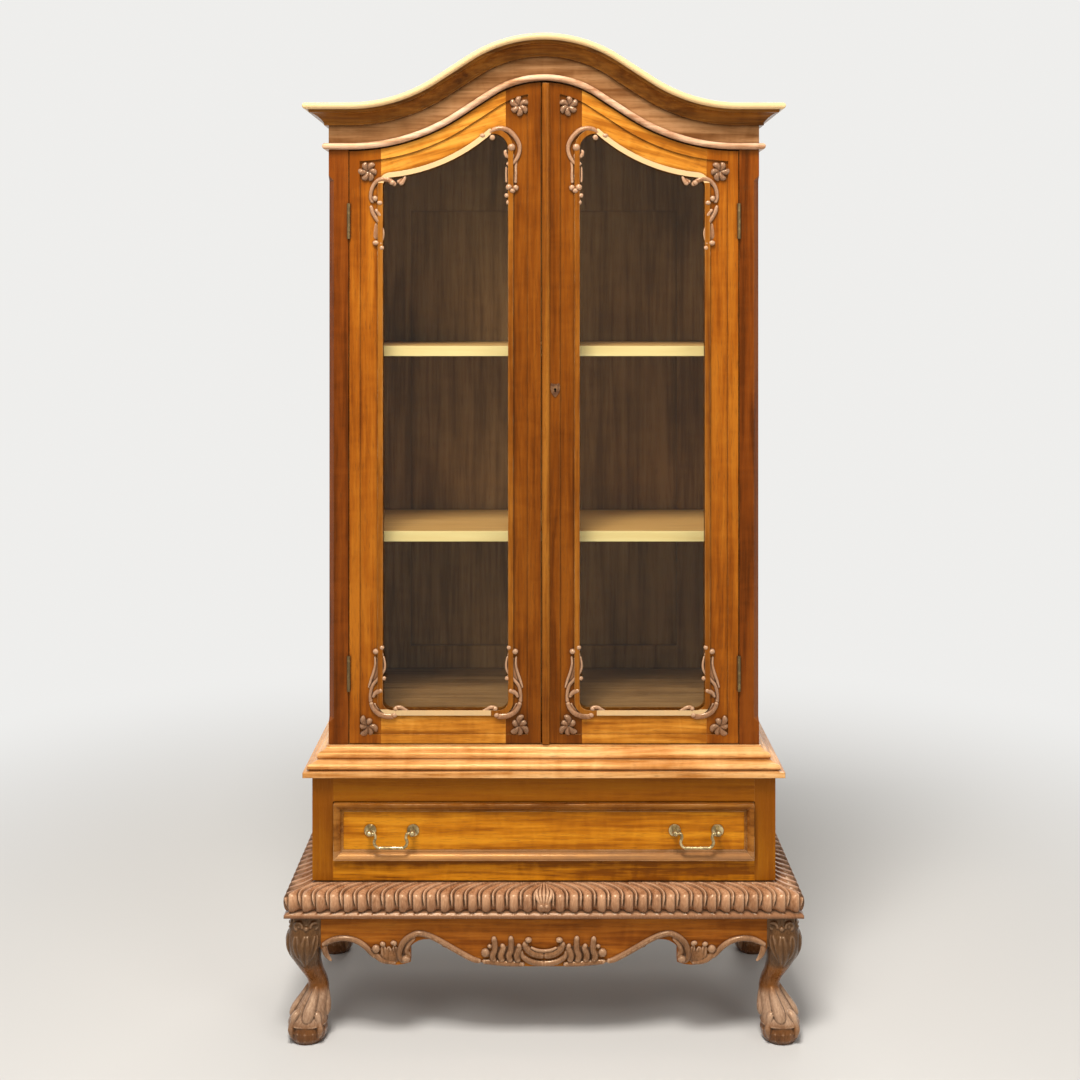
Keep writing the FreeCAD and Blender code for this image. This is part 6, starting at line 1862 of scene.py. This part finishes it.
@dataclass
class DoorCarving(Assembly):
    """The scrolls and leaf rosettes carved in the four corners of both doors."""

    face_y: float = -168.5 * MM
    facet: float = 0.9 * MM
    mirrored_at: float = 418.0
    # Strength of the rosettes' pale ridges: partly wear, partly painted highlight.
    rosette_ridge_wear_and_highlight: float = 0.3
    petal_belly: float = 0.55
    petal_bow: float = 0.22

    @staticmethod
    def top_at_meeting(relief: Relief) -> None:
        """The open scroll and hanging berries below the arch, beside the meeting stile.

        Args:
            relief: where they are added.
        """
        relief.bud(130, 1895.7, 6.8, 2.5, 0.75)
        relief.bud(109.5, 1892, 6.2)
        relief.line([
            (118, 1900), (108.3, 1907), (98.3, 1910.4), (87.2, 1910.4), (74.7, 1905.7), (64.7, 1897),
            (57.3, 1887), (52.4, 1875.8), (51.8, 1863.3), (55.5, 1851), (62.2, 1841), (69.6, 1835),
            (78, 1833),
        ], (4.2, 5.4, 5.8, 5.8, 5.4, 5.0, 4.6, 4.2, 4.0, 3.8, 3.4), 2.0)
        relief.bud(69, 1871, 8.4, 2.0)
        relief.line([(80, 1866), (82, 1860), (79, 1853), (72, 1850)], (3.2, 4.0, 4.4, 3.6), 1.0)
        relief.line([(66, 1858), (67, 1848), (73, 1838), (80, 1834)], (2.6, 3.6, 4.4, 3.8), 1.6)
        relief.line([(58, 1848), (60, 1830), (60, 1812), (61, 1794)], (3.0, 3.0, 3.4, 4.0), 0.6)
        relief.line([(73, 1830), (71, 1814), (70, 1798)], (4.6, 6.5, 7.5), 0.0, 0.6)
        relief.line([(80, 1830), (80, 1812), (79, 1796)], (1.8, 2.2, 3.0), 0.6)
        relief.bud(74, 1786, 7.2, 2.8)
        relief.bud(60, 1785, 6.4, 2.4)
        relief.bud(67, 1779, 6.8, 3.2, 0.85)
        relief.bud(79, 1768.5, 5.2, 2.8)
        relief.bud(69.5, 1765, 4.2, 1.8)
        relief.bud(76, 1754, 4.6, 2.0, 1.2)

    @staticmethod
    def top_at_hinge(relief: Relief) -> None:
        """The scroll, the paired leaves and the berries below the arch, beside the hinge stile.

        Args:
            relief: where they are added.
        """
        relief.line([
            (314, 1790), (322.4, 1797), (332, 1802.5), (343, 1803), (352, 1800), (359.5, 1793.5),
            (364.8, 1784.5), (367.6, 1773.5), (367, 1762), (362, 1753),
        ], (4.4, 5.6, 5.8, 5.8, 5.2, 4.6, 4.2, 4.0, 4.4, 5.0), 2.0)
        relief.bud(322, 1796, 6.4, 3.2, 0.9)
        relief.line([(294, 1811), (297, 1803), (303, 1794), (304, 1790)], (2.4, 4.0, 5.4, 4.6), 1.8)
        relief.line([(313, 1797), (306, 1799), (298, 1806)], (4.0, 4.6, 3.4), -0.5)
        relief.bud(358.5, 1762, 6.2, 3.2)
        relief.bud(348.5, 1753, 6.6, 2.8, 0.8)
        knots = [(368, 1748), (364, 1734), (356, 1720), (348, 1709), (344.5, 1700)]
        relief.line(knots, (3.0, 4.6, 5.0, 4.0, 3.0), 1.6)
        relief.line([(358, 1740), (351.3, 1731), (345.5, 1724)], (3.6, 4.6, 4.2), 2.4)
        relief.line([(344.5, 1702), (341.5, 1690), (343.5, 1677), (350, 1668)], (2.6, 3.0, 3.4, 4.4), 0.8)
        relief.line([(356, 1712), (353, 1692), (356, 1674)], (4.0, 9.5, 7.5), -1.0, 0.4)
        relief.bud(357, 1668, 7.0, 2.8, 0.8)
        relief.bud(346, 1667, 4.6, 2.0, 0.9)
        relief.bud(344.5, 1657.5, 5.2, 3.0)
        relief.line([(349.5, 1655), (350.5, 1644), (350, 1634)], (3.8, 3.8, 1.8), 0.8)

    def bottom(self, relief: Relief, at_hinge: bool) -> None:
        """The long scroll up one side of the pane's lower corner.

        Args:
            relief: where it is added.
            at_hinge: whether it lies beside the hinge stile.
        """
        def laid(*knots: Point | Knot) -> list[Knot]:
            """The same knots, mirrored for the other side of the door."""
            return [(self.mirrored_at - knot[0], *knot[1:]) if at_hinge else knot for knot in knots]

        def bud(across: float, *rest: float) -> None:
            """A berry, mirrored in the same way."""
            relief.bud(self.mirrored_at - across if at_hinge else across, *rest)

        bud(74, 808.5, 5.2, 3.0)
        bud(61, 800, 6.6, 2.8, 0.9)
        relief.line(laid((60, 801), (69, 798), (77, 791)), (3.6, 4.0, 2.8), 1.4)
        relief.line(
            laid((77, 790), (80, 770), (76, 756), (63, 739), (53, 726), (49.5, 706), (50, 691)),
            (2.6, 3.0, 3.4, 3.8, 3.8, 3.8, 4.2),
            1.2,
        )
        relief.line(laid((67, 788), (69, 768), (62, 748), (54, 732)), (6.0, 10.0, 8.5, 5.0), -1.2, 0.4)
        beside = laid((59, 790), (60, 772), (56, 755), (50, 738), (45.5, 722))
        relief.line(beside, (2.2, 3.0, 3.2, 3.0, 2.2), 0.8)
        bud(78.5, 743, 4.8, 2.8)
        relief.line(laid((76, 719.5), (69, 716), (60, 711), (54, 702)), (5.2, 5.6, 4.6, 3.0), 2.2)
        relief.line(
            laid((50, 694), (54, 682), (63, 671), (77, 664.2), (92, 662.4), (103, 664.5)),
            (4.2, 5.0, 5.8, 6.4, 6.6, 5.4),
            2.2,
        )
        bud(100, 665, 6.6, 3.0, 0.85)
        tip = laid((99, 675), (105, 680), (114, 680.5), (122, 676), (131, 672))
        relief.line(tip, (4.2, 4.6, 4.4, 4.0, 3.0), 2.0)
        bud(103.5, 678.5, 5.4, 3.0, 0.9)
        relief.line(laid((58, 690), (62, 680), (71, 673)), (2.2, 2.8, 2.2), 0.6)

    def rosette(self, relief: Relief, centre: Knot, tips: Sequence[Knot], hand: int) -> None:
        """A spray of curled leaves.

        Args:
            relief: where it is added.
            centre: its middle.
            tips: where its leaves end, from the middle.
            hand: 1, or -1 where it is mirrored.
        """
        middle = np.array(centre)
        for tip_across, tip_up in tips:
            away = np.array((hand * tip_across, tip_up))
            aside = np.array((away[1], -away[0]))
            belly = middle + away * self.petal_belly + aside * self.petal_bow
            relief.line([middle, belly, middle + away], (2.2, 6.0, 6.4, 2.8), 1.8, 0.85)

    def rosettes(self, side: int) -> bpy.types.Object:
        """Make the leaf rosettes in one door's corners.

        Args:
            side: on which side the door is.

        Returns:
            The piece.
        """
        relief = Relief()
        low_tips = ((-10, 22), (-17, 4), (9, 13), (18, -13), (2, -20), (-17, -18))
        high_tips = ((21, 5), (14, -16), (-15, 15), (-17, -7), (4, 20), (-3, -21))
        for centre, tips, hand in (
            ((53, 642), low_tips, 1), ((373.5, 642), low_tips, -1),
            ((373.5, 1820), high_tips, 1), ((53, 1959), high_tips, -1),
        ):
            self.rosette(relief, centre, tips, hand)
        return relief.melt(f"{SIDE_NAMES[side]}_door_rosettes", self.facet, facing_front(self.face_y, side))

    def scrolls(self, side: int) -> bpy.types.Object:
        """Make the scrolls round one door's pane.

        Args:
            side: on which side the door is.

        Returns:
            The piece.
        """
        relief = Relief()
        self.top_at_meeting(relief)
        self.top_at_hinge(relief)
        self.bottom(relief, False)
        self.bottom(relief, True)
        return relief.melt(f"{SIDE_NAMES[side]}_door_scrolls", self.facet, facing_front(self.face_y, side))

    def build(self) -> None:
        """Make and dress the carvings of both doors."""
        scroll = CarvedTimber(SCROLL, 1.0).build()
        rosette = CarvedTimber(ROSETTE, 4.0, ridge_wear_and_highlight=self.rosette_ridge_wear_and_highlight).build()
        for side in (LEFT, RIGHT):
            door = f"{SIDE_NAMES[side]}_door"
            self.settle(self.scrolls(side), scroll, door, f"{door}_carvings")
            self.settle(self.rosettes(side), rosette, door)


# Studio

@dataclass(frozen=True)
class Lamp:
    """A soft square lamp that hangs somewhere and points to a height in the cabinet's middle."""

    name: str
    place: Point
    aim: float
    size: float
    power: float

    def hang(self, colour: Colour) -> bpy.types.Object:
        """Put the lamp in the scene.

        Args:
            colour: the colour of its light.

        Returns:
            The lamp.
        """
        data = bpy.data.lights.new(self.name, "AREA")
        data.shape = "SQUARE"
        data.size = self.size
        data.energy = self.power
        data.color = colour
        holder = bpy.data.objects.new(self.name, data)
        holder.location = self.place
        way = Vector((0.0, 0.0, self.aim)) - Vector(self.place)
        holder.rotation_euler = way.to_track_quat("-Z", "Y").to_euler()
        bpy.context.scene.collection.objects.link(holder)
        return holder


@dataclass
class Studio(Assembly):
    """Pale floor, soft lamps and the camera."""

    lens: float = 48.88
    sensor: float = 36.0
    eye: Point = (0.0, -3.2865, 1.551)
    shift_x: float = -0.0036
    shift_y: float = -0.2241
    pale: Colour = (0.86, 0.855, 0.84)
    floor_tone: Colour = (0.62, 0.61, 0.59)
    warm: Colour = (1.0, 0.965, 0.92)
    lit_by_surroundings: float = 0.30
    floor_reach: float = 40.0
    fades: tuple[float, float] = (0.9, 3.0)
    lamps: tuple[Lamp, ...] = (
        Lamp("overhead", (-0.4, -2.1, 4.6), 1.1, 1.2, 215.0),
        Lamp("key", (-1.4, -2.9, 3.6), 1.1, 1.6, 45.0),
        Lamp("fill", (2.6, -3.2, 2.6), 0.9, 1.8, 32.0),
        Lamp("rear", (0.6, 3.6, 3.2), 1.0, 2.4, 60.0),
    )

    def camera(self) -> bpy.types.Object:
        """Set the camera at the photograph's viewing angle.

        Returns:
            The camera.
        """
        data = bpy.data.cameras.new("camera")
        data.sensor_width = self.sensor
        data.lens = self.lens
        data.shift_x = self.shift_x
        data.shift_y = self.shift_y
        holder = bpy.data.objects.new("camera", data)
        holder.location = self.eye
        holder.rotation_euler = (math.radians(90), 0, 0)
        bpy.context.scene.collection.objects.link(holder)
        bpy.context.scene.camera = holder
        return holder

    def world(self) -> None:
        """A pale surrounding that the camera, metal and glass see at full strength."""
        world = bpy.data.worlds.new("studio")
        shader = Shader(world)
        path = shader.node("ShaderNodeLightPath")
        camera, glossy, through = (
            Signal(shader, path.outputs[f"Is {kind} Ray"]) for kind in ("Camera", "Glossy", "Transmission")
        )
        seen = (camera + glossy + through).clamp()
        strength = seen * (1.0 - self.lit_by_surroundings) + self.lit_by_surroundings
        sky = shader.node("ShaderNodeBackground", inputs={"Color": self.pale, "Strength": strength})
        bpy.context.scene.world = shader.output(sky.outputs[0], "ShaderNodeOutputWorld")

    def floor(self) -> bpy.types.Object:
        """A pale floor that fades into the surroundings.

        Returns:
            The floor.
        """
        mesh = bpy.data.meshes.new("studio_floor")
        reach = self.floor_reach
        corners = [(-reach, -reach, 0), (reach, -reach, 0), (reach, reach, 0), (-reach, reach, 0)]
        mesh.from_pydata(corners, [], [(0, 1, 2, 3)])
        mesh.update()
        floor = bpy.data.objects.new("studio_floor", mesh)
        bpy.context.scene.collection.objects.link(floor)
        shader = Shader.named("studio_floor")
        x, y, _ = shader.axes(shader.place())
        distance = (x * x + y * y) ** 0.5
        matt = shader.node("ShaderNodeBsdfDiffuse", inputs={"Color": self.floor_tone})
        glow = shader.node("ShaderNodeEmission", inputs={"Color": self.pale})
        surfaces = {0: distance.ramp(*self.fades), 1: matt.outputs[0], 2: glow.outputs[0]}
        mesh.materials.append(shader.output(shader.node("ShaderNodeMixShader", inputs=surfaces).outputs[0]))
        return floor

    def build(self) -> None:
        """Set up the whole studio."""
        self.world()
        self.pieces = [self.camera(), self.floor(), *(lamp.hang(self.warm) for lamp in self.lamps)]
        bpy.context.scene.view_settings.view_transform = "Standard"


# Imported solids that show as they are

@dataclass
class GlazedCase(Assembly):
    """The dressing of the glazed case, its cornice and its shelves."""

    shelf_y: float = -106.5 * MM
    nosing: float = 8 * MM
    nosing_highlight: float = 0.8

    def build(self) -> None:
        """Dress the case."""
        self.polished("left_side_panel right_side_panel", STILE, Grain.ALONG_Z, 20.0)
        self.polished("case_posts", POST, Grain.ALONG_Z, 21.0)
        self.polished("frieze_board", FRIEZE, Grain.ALONG_X, 22.0)
        self.polished("frieze_bead", MOULDING, Grain.ALONG_X, 22.5)
        low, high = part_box("cornice_front")
        # Painted highlight on the cornice's front nosing and outer ends.
        nosing = PaintedHighlight(self.nosing_highlight, before=low[1] + self.nosing, outside=high[0] - self.nosing)
        self.polished("cornice_front", CORNICE, Grain.ALONG_X, 23.0, rubbed=nosing)
        self.polished("cornice_returns", CORNICE, Grain.ALONG_Y, 24.0, rubbed=nosing)
        self.plain("ceiling_board case_floor", Grain.ALONG_X, 25.0)
        self.plain("back_frame", Grain.ALONG_Z, 26.0)
        self.plain("shelf_bearers", Grain.ALONG_Y, 27.0)
        self.dress_nodes(ShelfTimber(self.shelf_y).build(), "pale_edge_shelf", "upper_shelf lower_shelf")


@dataclass
class Doors(Assembly):
    """The dressing of both doors."""

    rail_tilt: float = 0.30
    lit_below: float = 678 * MM
    lit_above: float = 1795 * MM
    bead_highlight: float = 0.65
    bead_ridge: float = 0.8 * MM
    bead_scroll: float = 112 * MM
    hinge_shades: tuple[Point, ...] = ((373.5 * MM, 1821 * MM, 55 * MM), (373.5 * MM, 642 * MM, 50 * MM))
    meeting_shades: tuple[Point, ...] = ((53 * MM, 1959 * MM, 55 * MM), (53 * MM, 642 * MM, 50 * MM))

    def build(self) -> None:
        """Dress the doors."""
        # Painted highlight along the front ridge of the beads, below and above given heights and clear of
        # the middle.
        lit = PaintedHighlight(
            self.bead_highlight, self.lit_below, self.lit_above,
            before=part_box("left_door_beads")[0][1] + self.bead_ridge,
            from_middle=self.bead_scroll, soft=self.bead_ridge,
        )
        for hand in (LEFT, RIGHT):
            boards = (
                ("hinge_stile", STILE, Grain.ALONG_Z, 2.5, {"shade_at": self.hinge_shades}),
                ("meeting_stile", MEETING, Grain.ALONG_Z, 5.5, {"shade_at": self.meeting_shades}),
                ("top_rail", GOLDEN, Grain.ALONG_X, 8.5, {"tilt": -hand * self.rail_tilt}),
                ("bottom_rail", GOLDEN, Grain.ALONG_X, 11.5, {}),
                ("beads", ROLL, Grain.ALONG_Z, 14.5, {"rubbed": lit}),
            )
            for board, tone, grain, seed, more in boards:
                self.polished(f"{SIDE_NAMES[hand]}_door_{board}", tone, grain, seed + hand, **more)
        self.polished("astragal", ROLL, Grain.ALONG_Z, 17.0)
        self.dress_nodes(WindowGlass().build(), "window_glass", "left_door_glass right_door_glass")


@dataclass
class DrawerStand(Assembly):
    """The dressing of the drawer case, the drawer, the waist moulding and the aprons."""

    drawer_opening: float = 443 * MM
    waist_mitre: float = 284.5 * MM
    shade_upwards: tuple[float, float] = (360 * MM, 490 * MM)
    lit_frame: float = 392 * MM
    frame_highlight: float = 0.17

    def build(self) -> None:
        """Dress the stand."""
        mitred = {"returns_beyond": self.waist_mitre}
        self.polished("waist_moulding waist_board", WAIST, Grain.ALONG_X, 30.0, **mitred)
        self.polished("plinth_rail", WAIST, Grain.ALONG_X, 31.0)
        # Uprights are darker, and painted shade darkens the frame upwards.
        shaded = {"upright_beyond": self.drawer_opening, "shade_upwards": self.shade_upwards}
        self.polished("base_front_frame", RAIL, Grain.ALONG_X, 32.0, **shaded)
        self.polished("base_sides", STILE, Grain.ALONG_Y, 33.0)
        self.polished("drawer_front", DRAWER, Grain.ALONG_X, 34.0)
        # Painted highlight on the drawer's frame below a given height.
        lit = PaintedHighlight(self.frame_highlight, below=self.lit_frame)
        self.polished("drawer_front_moulding", FRAME, Grain.ALONG_X, 35.0, rubbed=lit)
        self.polished("front_apron", APRON, Grain.ALONG_X, 36.0)
        self.polished("side_aprons", APRON, Grain.ALONG_Y, 37.0)
        self.plain("rear_apron base_back dust_board drawer_bottom", Grain.ALONG_X, 38.0)
        self.plain("drawer_runners drawer_sides", Grain.ALONG_Y, 39.0)


@dataclass
class Fittings(Assembly):
    """The dressing of the metal."""

    slot: str = "aged_brass"
    handles: str = "handle_posts left_bail right_bail"
    hinges: str = "case_hinge_leaves left_door_hinge_leaves right_door_hinge_leaves"
    locks: str = "lock_case lock_bolt top_door_bolt bottom_door_bolt door_bolt_barrels"

    def build(self) -> None:
        """Dress the metal."""
        self.dress_nodes(HANDLE_BRASS.build(), self.slot, self.handles)
        self.dress_nodes(COPPER.build(), self.slot, "keyhole_shield")
        self.dress_nodes(HINGE_BRASS.build(), self.slot, f"{self.hinges} {self.locks}")


def main() -> None:
    """Build the sub-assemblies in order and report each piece."""
    logging.basicConfig(level=logging.INFO, format="%(name)s: %(message)s")
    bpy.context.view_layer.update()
    assemblies = (
        Studio(), GlazedCase(), Doors(), DrawerStand(), Fittings(),
        Gadroon(), ApronCarving(), DoorCarving(), CabrioleLegs(),
    )
    for assembly in assemblies:
        assembly.build()
        for piece in assembly.pieces:
            LOG.info("%s: %s", type(assembly).__name__, piece.name)


if __name__ == "__main__":
    main()
